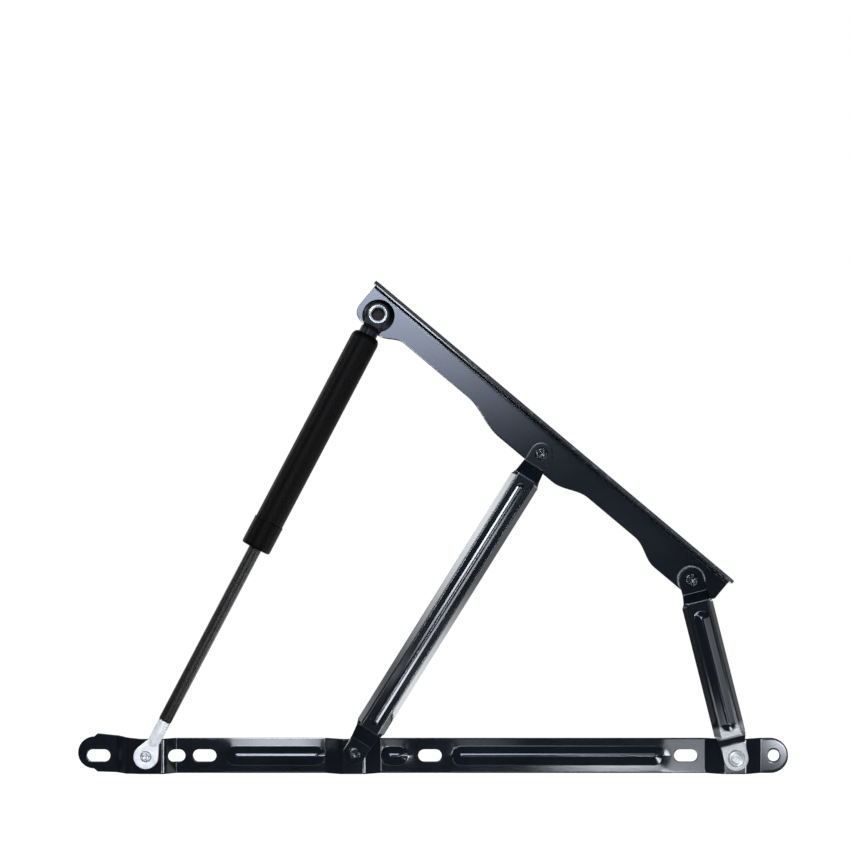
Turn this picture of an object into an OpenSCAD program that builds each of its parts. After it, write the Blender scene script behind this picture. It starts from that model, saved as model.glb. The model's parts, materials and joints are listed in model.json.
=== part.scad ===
// Bed lift mechanism, one side unit, drawn open.
// X runs along the bed side, Z is up and Y goes back to the side board, whose face is Y = 0.
// The origin lies on that face, midway between the two outer slots of the wall rail.
// Shapes are drawn as seen from the front: x right, y up, z out towards the viewer.
// front() then stands them up.

/* [Wall rail] */
// Height of the rail strip
rail_h = 27; // [25:0.5:32]
// Thickness of the rail steel
rail_t = 2.5; // [2:0.5:3]
// From the origin to the centre of the left round end
rail_left = 229.3; // [228:0.1:250]
// From the rear link's pivot to the centre of the right round end
rail_tail = 27.9; // [24:0.1:50]
// Radius of the left round end
left_end_r = 12.3; // [11:0.1:13]
// Height of the flared shoulder beside the left end
flare_h = 29.4; // [28:0.1:32]
// Length of the flare, from its shoulder to the plain strip
flare_l = 34; // [25:1:40]
// From the centre of the left round end to the shoulder
left_shoulder = 2.7; // [2:0.1:4]
// How far the left end lies above the strip's middle line
left_rise = 2.3; // [0:0.1:3]

/* [Rail slots] */
// Distance between the outer slots
outer_pitch = 451.6; // [440:0.2:454]
// Distance between the inner slots
inner_pitch = 173.3; // [160:0.1:176]
// Middle of the inner slots, left of the origin
inner_back = 57.6; // [54:0.1:62]
// Length of a slot, end to end
slot_l = 18; // [16:0.5:20]
// Width of a slot
slot_w = 9.4; // [8.4:0.2:10.4]
// Length of the short slot
short_slot_l = 13.4; // [11:0.2:14]
// Short slot, left of the origin
short_slot_back = 165.8; // [164:0.1:168]
// Diameter of the hole in the right end
end_hole_d = 9; // [8:0.5:11]
// From the centre of the right round end out to its hole
end_hole_out = 2.4; // [0:0.1:4]

/* [Rail bridges] */
// Clear depth behind a bridge
bridge_rise = 10; // [8:0.5:11]
// Flat length on top of a link's bridge
bridge_flat = 17.6; // [17.4:0.2:20]
// Flat length on top of the gas spring's bridge
gas_bridge_flat = 27.6; // [24:0.2:28]
// Length of the slopes of a link's bridge
bridge_slope = 12; // [11:0.5:13]
// Length of the slopes of the gas spring's bridge
gas_bridge_slope = 8.5; // [8:0.1:9]
// Middle of a link's bridge, left of its pivot, and half of that at the gas spring's bridge
bridge_shift = 1.1; // [0:0.1:1.2]
// Bend radius on the middle of the sheet
bend_r = 3.2; // [2.5:0.1:3.6]
// Width of the stiffening beads on the rail
rail_bead_w = 14; // [12:0.5:16]
// Height of the stiffening beads on the rail
rail_bead_h = 2.4; // [1.5:0.1:3]

/* [Pivot places] */
// Long link's pivot on the rail, left of the origin
pivot_a_back = 28.9; // [28:0.1:31]
// Long link's pivot above the rail's middle line
pivot_a_up = 2.6; // [0:0.1:3]
// Rear link's pivot on the rail, right of the origin
pivot_d_x = 263.1; // [260:0.1:268]
// Rear link's pivot below the rail's middle line
pivot_d_down = 1.2; // [0:0.1:3]
// Gas spring's stud on the rail, left of the origin
pivot_f_back = 186.8; // [186:0.1:190]
// Gas spring's stud above the rail's middle line
pivot_f_up = 1.2; // [0:0.1:2]

/* [Links] */
// Long link, pivot to pivot
long_link_l = 270; // [240:0.1:320]
// Slope of the open long link in degrees
open_angle = 58; // [50:0.1:65]
// Thickness of the link steel
link_t = 2; // [1.5:0.1:2.2]
// Width of the long link's body
long_link_w = 24.5; // [22:0.5:28]
// Width of the rear link's body
rear_link_w = 25; // [22:0.5:28]
// Depth of a link's channel, ear to front face
channel_rise = 7.7; // [6:0.1:8.2]
// Run of the long link's sloping side wall
long_side = 4.6; // [3.5:0.1:5]
// Run of the rear link's sloping side wall
rear_side = 2.2; // [1.5:0.1:3]
// Ear radius of the long link
long_ear_r = 8.8; // [8:0.1:10]
// Ear radius of the rear link
rear_ear_r = 9.4; // [8.4:0.1:10]
// From a long link's pivot to the start of its channel
long_shoulder = 21.5; // [20:0.5:26]
// From a rear link's pivot to the start of its channel
rear_shoulder = 17.2; // [16.6:0.2:22]
// From a pivot to the bend at the edge of the ear
ear_flat = 10.8; // [10:0.1:11.4]
// How much an ear's neck widens on each side, up to its channel
neck_flare = 1.3; // [0.5:0.1:1.6]
// Width of the long link's rib
long_rib_w = 6.2; // [5:0.2:8]
// Width of the rear link's rib
rear_rib_w = 12.7; // [11:0.1:14]
// Height of a link's rib
link_rib_h = 1.8; // [1:0.1:2.2]

/* [Top arm] */
// Slope of the open arm in degrees
arm_slope = 40; // [35:0.1:45]
// From the rear link's pivot on the arm to the arm's right end
arm_tail = 23.3; // [22:0.1:60]
// Thickness of the arm steel
arm_t = 2.5; // [2:0.5:3]
// Width of the flange, from the back of the web
flange_w = 36; // [26:1:40]
// Depth of the web between its ears
web_h = 21.4; // [20:0.1:24]
// Gas spring's pivot, from the arm's left end
pivot_e_u = 16.6; // [16:0.1:20]
// Gas spring's pivot, below the flange's outer face
pivot_e_v = 17.7; // [17.2:0.1:20]
// Long link's pivot, from the arm's left end
pivot_b_u = 180; // [178:0.1:188]
// Distance between the two link pivots on the arm
arm_pivots = 149.6; // [140:0.1:170]
// Link pivots, below the flange's outer face
pivot_bc_v = 18.7; // [18.4:0.1:21]
// Steel below a pivot on the arm's ears
ear_margin = 11; // [10:0.1:12]
// Straight stretch of an ear's lower edge, before a link pivot
ear_lead = 33; // [28:0.5:36]
// Straight stretch of the middle ear's lower edge, after its pivot
ear_trail = 20; // [14:0.5:24]
// Length of the sweep from the middle ear up to the plain web
ear_sweep = 39; // [24:0.5:44]
// Corner radius of the arm's left end
arm_corner = 9; // [6:0.5:10]
// Corner radius of the last ear
last_corner = 14; // [10:0.5:16]
// Distance between the two holes of a flange pair
flange_pair = 60; // [40:1:70]
// Middle of the left flange pair, from the arm's left end
flange_left = 98; // [90:1:110]
// Middle of the right flange pair, from the arm's left end
flange_right = 262; // [258:1:272]
// Diameter of the flange holes
flange_hole_d = 6.6; // [5.5:0.1:9]

/* [Rivets and washers] */
// Radius of a rivet's shank
rivet_r = 4; // [3.5:0.1:4.4]
// Radius of a rivet's peened front head
peen_r = 5; // [4.9:0.1:6]
// Radius of the rear rail rivet's front head
rear_peen_r = 6; // [5.4:0.1:7]
// Radius of a rivet's rear head
rear_head_r = 6.2; // [5.5:0.1:6.3]
// Thickness of a rivet head
head_t = 1.5; // [1:0.1:2]
// Thickness of the washers between the pieces
washer_t = 1.1; // [0.5:0.1:1.5]
// Radius of the small washers
washer_r = 8.4; // [7:0.1:9]
// Radius of the washer at the rear link's upper pivot
wide_washer_r = 10.8; // [9:0.1:11]
// Radial clearance of a turning joint
run_fit = 0.06; // [0.04:0.01:0.1]
// Radial clearance of a fixed rivet or spigot
seat_fit = 0.02; // [0.01:0.01:0.05]
// Gap between pieces that turn face to face
face_gap = 0.2; // [0.1:0.05:0.3]

/* [Gas spring] */
// Outer radius of the tube
tube_r = 11; // [10:0.1:11.4]
// Wall of the tube
tube_wall = 1.25; // [1:0.05:1.5]
// From the upper pivot to the tube's shoulder
tube_start = 17.5; // [17:0.1:20]
// Length of the tube
tube_l = 182; // [176:1:190]
// Radius of the piston rod
rod_r = 5; // [4:0.1:5.4]
// From the lower pivot back to the end of the bare rod
rod_stop = 30.8; // [28:0.1:36]
// Height of the gas spring's middle line above the board
gas_depth = 25.5; // [25.3:0.1:27]
// Length of the end cap on the tube
cap_l = 21.5; // [18:0.1:26]
// Wall of the end cap
cap_wall = 0.6; // [0.4:0.05:0.8]
// Thickness of the two eyes
eye_t = 6; // [5:0.5:7]
// Radius of the upper eye
upper_eye_r = 9.6; // [9:0.1:11]
// Radius of the upper eye's round neck
upper_neck_r = 7.2; // [6:0.1:7.6]
// Radius of the lower eye
lower_eye_r = 9.3; // [9:0.1:11]
// Radius of the lower eye's neck
lower_neck_r = 4.8; // [4:0.1:5]
// Outer radius of the hollow upper stud
upper_stud_r = 6; // [5.6:0.1:6.4]
// Radius of the hole in the hollow upper stud
upper_stud_hole = 4.6; // [3.5:0.1:4.8]
// Radius of the upper stud's rolled rim
upper_rim_r = 7.5; // [7:0.1:8.5]
// Radius of the spacer's foot on the arm
spacer_r = 12.4; // [10:0.1:13]
// Radius of the lower stud
lower_stud_r = 3.9; // [3.5:0.1:4.2]
// Radius of the lower stud's collar
lower_collar_r = 6.5; // [6:0.1:7.5]
// Length of the piston
piston_l = 9; // [7:0.5:11]
// Room between the piston and the rod guide, with the spring extended
piston_room = 8; // [4:0.5:14]

/* [Hidden] */
$fn = 64;
ARC_STEPS = 6;
EPS = 0.01;

// Depths towards the viewer
plate_front = bridge_rise + rail_t;
arm_l = pivot_b_u + arm_pivots + arm_tail;
web_back = plate_front - arm_t;
link_back = plate_front + washer_t;
link_front = link_back + link_t;
channel_front = link_back + channel_rise;
rivet_front = link_front + face_gap;
flange_front = web_back + flange_w;
eye_back = gas_depth - eye_t / 2;
eye_front = gas_depth + eye_t / 2;

// Pivots, seen from the front
pivot_a = [-pivot_a_back, pivot_a_up];
pivot_d = [pivot_d_x, -pivot_d_down];
pivot_f = [-pivot_f_back, pivot_f_up];
pivot_b = pivot_a + long_link_l * [cos(open_angle), sin(open_angle)];
pivot_c = pivot_b + turned_by([arm_pivots, 0], -arm_slope);
pivot_e = pivot_b + turned_by([pivot_e_u - pivot_b_u, pivot_bc_v - pivot_e_v], -arm_slope);
rear_angle = atan2(pivot_d.y - pivot_c.y, pivot_d.x - pivot_c.x);
rear_link_l = norm(pivot_d - pivot_c);
gas_angle = atan2(pivot_f.y - pivot_e.y, pivot_f.x - pivot_e.x);
gas_l = norm(pivot_f - pivot_e);

// Places along the rail, from left to right
rail_right = pivot_d_x + rail_tail;
bridge_f_x = -pivot_f_back - 2 * bridge_shift;
bridge_a_x = -pivot_a_back - bridge_shift;
bridge_d_x = pivot_d_x - bridge_shift;
slots_x = [-outer_pitch / 2, -inner_back - inner_pitch / 2, -inner_back + inner_pitch / 2, outer_pitch / 2];
flare_x = -rail_left + left_shoulder;
bead_clear = 8.5;
bridge_clear = 1;
bridge_a_half = bridge_flat / 2 + bridge_slope;
rail_beads = [
    [slots_x[1] + slot_l / 2 + bead_clear, bridge_a_x - bridge_a_half - bridge_clear],
    [bridge_a_x + bridge_a_half + bridge_clear, slots_x[2] - slot_l / 2 - bead_clear],
    [slots_x[2] + slot_l / 2 + bead_clear, slots_x[3] - slot_l / 2 - bead_clear]];

// Places along the gas spring, from its upper pivot
tube_bore = tube_r - tube_wall;
tube_end = tube_start + tube_l;
tube_floor = 2;
cap_r = tube_r + seat_fit + cap_wall;
guide_l = 9;
seal_l = 5;
retainer_l = 1.5;
guide_start = tube_end - guide_l;
seal_start = guide_start - seal_l;
retainer_start = seal_start - retainer_l;
piston_end = retainer_start - piston_room;
piston_start = piston_end - piston_l;
nut_l = 5;
rod_spigot_r = 3;
lower_spigot_l = 8;
rod_end = gas_l - rod_stop;
shoulder_l = 5.5;

// A point turned about the origin
function turned_by(p, angle) = [p.x * cos(angle) - p.y * sin(angle), p.x * sin(angle) + p.y * cos(angle)];

function unit(v) = v / norm(v);

// Points of an arc round a centre
function arc(centre, r, from, to, steps = 12) =
    [for (i = [0:steps]) centre + r * [cos(from + (to - from) * i / steps), sin(from + (to - from) * i / steps)]];

// The corner at b of the path a, b, c, rounded to radius r
function round_corner(a, b, c, r) =
    let (back = unit(a - b), on = unit(c - b), half = acos(back * on) / 2,
        centre = b + unit(back + on) * r / sin(half),
        start = b + back * r / tan(half) - centre, stop = b + on * r / tan(half) - centre,
        from = atan2(start.y, start.x), sweep = (atan2(stop.y, stop.x) - from + 540) % 360 - 180)
    arc(centre, r, from, from + sweep, ARC_STEPS);

function round_path(p, r) =
    [p[0], for (i = [1:len(p) - 2]) each round_corner(p[i - 1], p[i], p[i + 1], r), p[len(p) - 1]];

// The path moved sideways, square to itself
function side_path(p, by) =
    [for (i = [0:len(p) - 1])
        let (dir = unit(p[min(i + 1, len(p) - 1)] - p[max(i - 1, 0)])) p[i] + by * [-dir.y, dir.x]];

function reversed(p) = [for (i = [len(p) - 1:-1:0]) p[i]];

// Outline of a bent sheet whose middle follows the path
function sheet(path, t, r) =
    let (p = round_path(path, r)) concat(side_path(p, t / 2), reversed(side_path(p, -t / 2)));

// A smooth step from one point to another, level at both ends
function ease(a, b, steps = 10) =
    [for (i = [0:steps]) [a.x + (b.x - a.x) * i / steps, a.y + (b.y - a.y) * (1 - cos(180 * i / steps)) / 2]];

module front() { rotate([90, 0, 0]) children(); }

// From the front view's plane at depth lo to depth hi
module slab(lo, hi) { translate([0, 0, lo]) linear_extrude(hi - lo) children(); }

// A profile drawn in x and depth, carried up and down
module across(w) { rotate([90, 0, 0]) linear_extrude(w, center = true) children(); }

// A profile drawn in height and depth, carried along x
module along(from, to) { translate([from, 0, 0]) rotate([90, 0, 90]) linear_extrude(to - from) children(); }

// A turned shape about the x axis, from points of radius and place
module turned(points) { rotate([0, 90, 0]) rotate_extrude() polygon(points); }

module disc(at, r, lo, hi) { translate([at.x, at.y, lo]) cylinder(r = r, h = hi - lo); }

module slot(x, l, w, lo, hi) {
    disc([x - (l - w) / 2, 0], w / 2, lo, hi);
    disc([x + (l - w) / 2, 0], w / 2, lo, hi);
    translate([x - (l - w) / 2, -w / 2, lo]) cube([l - w, w, hi - lo]);
}

// A round-topped stiffening rib on a face at the given depth
module rib(from, to, w, h, face, inset = 0) {
    full_r = (w * w / 4 + h * h) / (2 * h);
    r = full_r - inset;
    centre = face + h - full_r;
    floor_z = face - inset - EPS;
    intersection() {
        union() {
            translate([from + w / 2, 0, centre]) rotate([0, 90, 0]) cylinder(r = r, h = to - from - w);
            translate([from + w / 2, 0, centre]) sphere(r = r);
            translate([to - w / 2, 0, centre]) sphere(r = r);
        }
        translate([from - w, -w, floor_z]) cube([to - from + 2 * w, 2 * w, full_r * 2]);
    }
}

module rail_outline() {
    polygon(concat(
        arc([-rail_left, left_rise], left_end_r, 90, 270, 24),
        [[flare_x, left_rise - flare_h / 2], [flare_x + flare_l, -rail_h / 2]],
        arc([rail_right, 0], rail_h / 2, -90, 90, 24),
        [[flare_x + flare_l, rail_h / 2], [flare_x, left_rise + flare_h / 2]]));
}

// Corner points of one bridge on the middle of the sheet
function bridge_path(x, flat, slope) =
    let (low = rail_t / 2, high = bridge_rise + rail_t / 2, half = flat / 2)
    [[x - half - slope, low], [x - half, high], [x + half, high], [x + half + slope, low]];

module base_rail() {
    path = concat(
        [[-rail_left - 2 * rail_h, rail_t / 2]],
        bridge_path(bridge_f_x, gas_bridge_flat, gas_bridge_slope),
        bridge_path(bridge_a_x, bridge_flat, bridge_slope),
        bridge_path(bridge_d_x, bridge_flat, bridge_slope),
        [[rail_right + 2 * rail_h, rail_t / 2]]);
    color([0.07, 0.07, 0.08]) front() difference() {
        union() {
            intersection() {
                across(3 * rail_h) polygon(sheet(path, rail_t, bend_r));
                slab(-1, 2 * bridge_rise + rail_t) rail_outline();
            }
            for (b = rail_beads) rib(b[0], b[1], rail_bead_w, rail_bead_h, rail_t);
        }
        for (b = rail_beads) rib(b[0], b[1], rail_bead_w, rail_bead_h, rail_t, rail_t);
        for (x = slots_x) slot(x, slot_l, slot_w, -1, rail_t + 1);
        slot(-short_slot_back, short_slot_l, slot_w, -1, plate_front);
        disc([rail_right + end_hole_out, 0], end_hole_d / 2, -1, rail_t + 1);
        for (p = [pivot_a, pivot_d]) disc(p, rivet_r + seat_fit, -1, plate_front + 1);
        disc(pivot_f, lower_stud_r + seat_fit, -1, plate_front + 1);
    }
}

// A rivet from its rear head behind the plate to its peened front head
module rivet(at, front_r) {
    disc(at, rear_head_r, web_back - head_t, web_back);
    disc(at, rivet_r, web_back - EPS, rivet_front + EPS);
    disc(at, front_r, rivet_front, rivet_front + head_t * 0.6);
    translate([at.x, at.y, rivet_front + head_t * 0.6 - EPS])
        cylinder(r1 = front_r, r2 = front_r - head_t * 0.4, h = head_t * 0.4);
}

module washer(at, r) {
    color([0.35, 0.36, 0.38]) front() difference() {
        disc(at, r, plate_front, link_back - face_gap);
        disc(at, rivet_r + seat_fit, plate_front - 1, link_back + 1);
    }
}

// The rail's rivets have their rear head behind a bridge
module rail_link_rivet() {
    color([0.2, 0.2, 0.21]) front() {
        disc(pivot_a, rear_head_r, bridge_rise - head_t, bridge_rise);
        disc(pivot_a, rivet_r, bridge_rise - EPS, rivet_front + EPS);
        disc(pivot_a, peen_r, rivet_front, rivet_front + head_t);
    }
}

module rail_link_washer() { washer(pivot_a, washer_r); }

// The rear link's rail rivet is in two halves, parted at the front of its washer
module rear_stud_fixed() {
    color([0.2, 0.2, 0.21]) front() {
        disc(pivot_d, rear_head_r, bridge_rise - head_t, bridge_rise);
        disc(pivot_d, rivet_r, bridge_rise - EPS, link_back - face_gap);
    }
}

module rear_stud_washer() { washer(pivot_d, washer_r); }

module rear_stud_moving() {
    color([0.62, 0.62, 0.64]) front() {
        disc(pivot_d, rivet_r, link_back + EPS, rivet_front + EPS);
        disc(pivot_d, rear_peen_r, link_front, rivet_front + head_t / 2);
        disc(pivot_d, rivet_r, rivet_front, rivet_front + head_t);
    }
}

// A pressed channel link between the pivots at x = 0 and x = l
module channel_link(l, w, side, ear_r, shoulder, rib_w, rib_from, rib_to, hole_near, hole_far) {
    mid = link_back + link_t / 2;
    top = channel_front - link_t / 2;
    front_w = w - 2 * side;
    neck_r = ear_r + neck_flare;
    lean = atan2(channel_rise, side);
    inner = link_t / sin(lean);
    foot = link_t / tan(lean);
    difference() {
        union() {
            intersection() {
                across(2 * neck_r) polygon(sheet([[-2 * ear_r, mid], [ear_flat, mid], [shoulder, top],
                    [l - shoulder, top], [l - ear_flat, mid], [l + 2 * ear_r, mid]], link_t, link_t));
                slab(0, 2 * channel_front) polygon(concat(
                    arc([0, 0], ear_r, 90, 270, 24),
                    [[ear_flat, -ear_r], [shoulder, -neck_r], [l - shoulder, -neck_r], [l - ear_flat, -ear_r]],
                    arc([l, 0], ear_r, -90, 90, 24),
                    [[l - ear_flat, ear_r], [l - shoulder, neck_r], [shoulder, neck_r], [ear_flat, ear_r]]));
            }
            along(shoulder, l - shoulder) polygon([
                [-w / 2, link_back], [-front_w / 2, channel_front], [front_w / 2, channel_front], [w / 2, link_back],
                [w / 2 - inner, link_back], [front_w / 2 - inner + foot, channel_front - link_t],
                [-front_w / 2 + inner - foot, channel_front - link_t], [-w / 2 + inner, link_back]]);
            rib(rib_from, rib_to, rib_w, link_rib_h, channel_front);
        }
        rib(rib_from, rib_to, rib_w, link_rib_h, channel_front, link_t);
        disc([0, 0], hole_near, 0, 2 * channel_front);
        disc([l, 0], hole_far, 0, 2 * channel_front);
    }
}

module long_link() {
    color([0.09, 0.09, 0.1]) front() translate([pivot_a.x, pivot_a.y, 0]) rotate([0, 0, open_angle])
        channel_link(long_link_l, long_link_w, long_side, long_ear_r, long_shoulder, long_rib_w,
            long_shoulder + 5.5, long_link_l - long_shoulder - 6.5, rivet_r + run_fit, rivet_r + run_fit);
}

module rear_link() {
    color([0.09, 0.09, 0.1]) front() translate([pivot_c.x, pivot_c.y, 0]) rotate([0, 0, rear_angle])
        channel_link(rear_link_l, rear_link_w, rear_side, rear_ear_r, rear_shoulder, rear_rib_w,
            rear_shoulder + 7.6, rear_link_l - rear_shoulder - 4.6, rivet_r + run_fit, rivet_r + seat_fit);
}

// Lower edge of the arm's web, from left to right, as distances below the flange
function web_edge() =
    let (ear_e = pivot_e_v + ear_margin + 0.9, ear_bc = pivot_bc_v + ear_margin,
        b = pivot_b_u, c = pivot_b_u + arm_pivots, e = pivot_e_u, short_sweep = ear_sweep * 2 / 3,
        end_corner = last_corner / 3)
    concat(
        arc([arm_corner, ear_e - arm_corner], arm_corner, 180, 90, 8),
        ease([e + arm_corner, ear_e], [e + arm_corner + ear_sweep / 2, web_h]),
        ease([b - ear_lead - ear_sweep, web_h], [b - ear_lead, ear_bc]),
        ease([b + ear_trail, ear_bc], [b + ear_trail + ear_sweep * 3 / 4, web_h]),
        ease([c - ear_lead * 5 / 6 - short_sweep, web_h], [c - ear_lead * 5 / 6, ear_bc]),
        arc([c, ear_bc - last_corner], last_corner, 90, 60, 6),
        arc([arm_l - end_corner, pivot_bc_v - end_corner / 2], end_corner, 60, 0, 5));

module arm_frame() {
    front() translate([pivot_b.x, pivot_b.y, 0]) rotate([0, 0, -arm_slope])
        translate([-pivot_b_u, pivot_bc_v, 0]) children();
}

module top_arm() {
    corner = arm_t / 2 + 1;
    flange_mid = web_back + flange_w * 0.6;
    end_round = 6;
    path = [[-arm_t / 2, flange_front], [-arm_t / 2, web_back + arm_t / 2], [-3 * web_h, web_back + arm_t / 2]];
    color([0.08, 0.08, 0.09]) arm_frame() difference() {
        intersection() {
            along(0, arm_l) polygon(sheet(path, arm_t, corner));
            slab(0, 2 * flange_front)
                polygon(concat([[0, 1]], [for (p = web_edge()) [p.x, -p.y]], [[arm_l, 1]]));
            across(8 * web_h) polygon(concat(
                arc([end_round, flange_front - end_round], end_round, 180, 90, 8),
                arc([arm_l - end_round, flange_front - end_round], end_round, 90, 0, 8),
                [[arm_l, 0], [0, 0]]));
        }
        for (pair = [flange_left, flange_right], side = [-1, 1])
            translate([pair + side * flange_pair / 2, 1, flange_mid]) rotate([90, 0, 0])
                cylinder(d = flange_hole_d, h = arm_t + 2);
        for (u = [pivot_b_u, pivot_b_u + arm_pivots])
            disc([u, -pivot_bc_v], rivet_r + seat_fit, 0, plate_front + 1);
        disc([pivot_e_u, -pivot_e_v], upper_stud_r + seat_fit, 0, plate_front + 1);
    }
}

module arm_link_rivet() { color([0.2, 0.2, 0.21]) front() rivet(pivot_b, peen_r); }

module arm_link_washer() { washer(pivot_b, washer_r); }

module arm_rear_rivet() { color([0.2, 0.2, 0.21]) front() rivet(pivot_c, peen_r); }

module arm_rear_washer() { washer(pivot_c, wide_washer_r); }

module gas_frame() {
    front() translate([pivot_e.x, pivot_e.y, gas_depth]) rotate([0, 0, gas_angle]) children();
}

// The hollow stud that carries the gas spring's upper eye, closed at the back and rolled over in front
module upper_gas_stud() {
    rim_t = 1.6;
    rim_back = eye_front + face_gap;
    color([0.75, 0.76, 0.78]) front() difference() {
        union() {
            disc(pivot_e, upper_rim_r + 1, web_back - rim_t, web_back);
            disc(pivot_e, upper_stud_r, web_back - EPS, rim_back + EPS);
            disc(pivot_e, upper_rim_r, rim_back, rim_back + rim_t / 2);
            translate([pivot_e.x, pivot_e.y, rim_back + rim_t / 2 - EPS])
                cylinder(r1 = upper_rim_r, r2 = upper_rim_r - 0.8, h = rim_t / 2);
        }
        disc(pivot_e, upper_stud_hole, web_back, 2 * eye_front);
    }
}

module upper_gas_spacer() {
    foot_t = 2;
    top = eye_back - face_gap;
    color([0.12, 0.12, 0.13]) front() difference() {
        union() {
            disc(pivot_e, spacer_r, plate_front, plate_front + foot_t);
            translate([pivot_e.x, pivot_e.y, plate_front + foot_t - EPS])
                cylinder(r1 = spacer_r, r2 = upper_eye_r - 1, h = top - plate_front - foot_t + EPS);
        }
        disc(pivot_e, upper_stud_r + seat_fit, 0, 2 * eye_front);
    }
}

module gas_tube() {
    hole_r = upper_neck_r + seat_fit;
    shoulder = [for (i = [0:8])
        [hole_r + (tube_r - hole_r) * sin(90 * i / 8), tube_start + shoulder_l * (1 - cos(90 * i / 8))]];
    color([0.06, 0.06, 0.065]) gas_frame() turned(concat(
        shoulder, [[tube_r, tube_end], [tube_bore, tube_end],
            [tube_bore, tube_start + shoulder_l], [hole_r, tube_start + tube_floor]]));
}

// The upper eye and the plug that holds it in the tube are one turned and milled piece
module upper_eye() {
    plug_l = 6;
    blade_end = upper_eye_r + 2;
    color([0.1, 0.1, 0.11]) gas_frame() difference() {
        union() {
            intersection() {
                slab(-eye_t / 2, eye_t / 2) {
                    circle(r = upper_eye_r);
                    translate([0, -upper_neck_r]) square([blade_end + 1, 2 * upper_neck_r]);
                }
                translate([-2 * upper_eye_r, -upper_eye_r, -eye_t]) cube([4 * upper_eye_r, 2 * upper_eye_r, 2 * eye_t]);
            }
            turned([[0, blade_end], [upper_neck_r, blade_end], [upper_neck_r, tube_start + shoulder_l],
                [tube_bore - seat_fit, tube_start + shoulder_l + seat_fit],
                [tube_bore - seat_fit, tube_start + shoulder_l + plug_l], [0, tube_start + shoulder_l + plug_l]]);
        }
        disc([0, 0], upper_stud_r + run_fit, -2 * eye_t, 2 * eye_t);
    }
}

// The cap that closes the lower end of the tube round the rod
module tube_end_cap() {
    end_t = 1.3;
    color([0.05, 0.05, 0.05]) gas_frame() turned([
        [tube_r + seat_fit, tube_end - cap_l], [cap_r, tube_end - cap_l + 0.4],
        [cap_r, tube_end + end_t - 0.8], [cap_r - 0.8, tube_end + end_t],
        [rod_r + run_fit, tube_end + end_t], [rod_r + run_fit, tube_end], [tube_r + seat_fit, tube_end]]);
}

// A ring inside the tube that the rod runs through
module rod_ring(start, stop, shade) {
    color(shade) gas_frame() turned([
        [rod_r + run_fit, start], [tube_bore - seat_fit, start], [tube_bore - seat_fit, stop], [rod_r + run_fit, stop]]);
}

module rod_guide() { rod_ring(guide_start, tube_end, [0.72, 0.58, 0.3]); }

module rod_seal() { rod_ring(seal_start, guide_start, [0.03, 0.03, 0.03]); }

module seal_retainer() { rod_ring(retainer_start, seal_start, [0.6, 0.6, 0.62]); }

module piston_rod() {
    color([0.16, 0.16, 0.18]) gas_frame() turned([
        [0, piston_start - nut_l - 1], [rod_spigot_r, piston_start - nut_l - 1], [rod_spigot_r, piston_end],
        [rod_r, piston_end], [rod_r, rod_end], [rod_spigot_r, rod_end],
        [rod_spigot_r, rod_end + lower_spigot_l], [0, rod_end + lower_spigot_l]]);
}

module piston() {
    side = tube_bore - 0.35;
    groove = side - 1.5;
    lip = 2.5;
    color([0.7, 0.71, 0.73]) gas_frame() turned([
        [rod_spigot_r + seat_fit, piston_start], [side, piston_start], [side, piston_start + lip],
        [groove, piston_start + lip], [groove, piston_end - lip], [side, piston_end - lip],
        [side, piston_end], [rod_spigot_r + seat_fit, piston_end]]);
}

module piston_ring() {
    lip = 2.5;
    ring_in = tube_bore - 0.35 - 1.5 + seat_fit;
    color([0.05, 0.05, 0.05]) gas_frame() turned([
        [ring_in, piston_start + lip], [tube_bore - run_fit, piston_start + lip],
        [tube_bore - run_fit, piston_end - lip], [ring_in, piston_end - lip]]);
}

module piston_nut() {
    color([0.7, 0.71, 0.73]) gas_frame() translate([piston_start - nut_l, 0, 0]) rotate([0, 90, 0]) difference() {
        cylinder(r = 2 * rod_spigot_r, h = nut_l, $fn = 6);
        translate([0, 0, -1]) cylinder(r = rod_spigot_r + seat_fit, h = nut_l + 2);
    }
}

module lower_eye() {
    blade_start = 14;
    root_r = lower_neck_r * 0.75;
    lean = asin((lower_eye_r - root_r) / blade_start);
    tuck = lower_eye_r * 0.97;
    color([0.78, 0.78, 0.79]) gas_frame() translate([gas_l, 0, 0]) difference() {
        union() {
            slab(-eye_t / 2, eye_t / 2) {
                circle(r = lower_eye_r);
                polygon([[-blade_start, -root_r], [-blade_start, root_r],
                    [-tuck * sin(lean), tuck * cos(lean)], [-tuck * sin(lean), -tuck * cos(lean)]]);
            }
            turned([[0, rod_end - gas_l], [lower_neck_r, rod_end - gas_l], [lower_neck_r, 2.5 - blade_start],
                [root_r / 2, 6.5 - blade_start], [0, 6.5 - blade_start]]);
        }
        translate([rod_end - gas_l - 1, 0, 0]) rotate([0, 90, 0])
            cylinder(r = rod_spigot_r + seat_fit, h = lower_spigot_l + 1);
        disc([0, 0], lower_stud_r + seat_fit, -eye_t, eye_t);
    }
}

// The gas spring's rail stud is in two halves, parted behind the eye
module gas_stud_fixed() {
    color([0.3, 0.3, 0.32]) front() {
        disc(pivot_f, rear_head_r, bridge_rise - head_t, bridge_rise);
        disc(pivot_f, lower_stud_r, bridge_rise - EPS, plate_front + EPS);
        disc(pivot_f, lower_collar_r, plate_front, eye_back - face_gap);
    }
}

module gas_stud_moving() {
    color([0.5, 0.5, 0.48]) front() {
        disc(pivot_f, lower_stud_r, eye_back, eye_front + 0.4);
        translate([pivot_f.x, pivot_f.y, eye_front + 0.4 - EPS])
            cylinder(r1 = lower_stud_r, r2 = lower_stud_r - 0.5, h = 0.5);
    }
}

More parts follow.
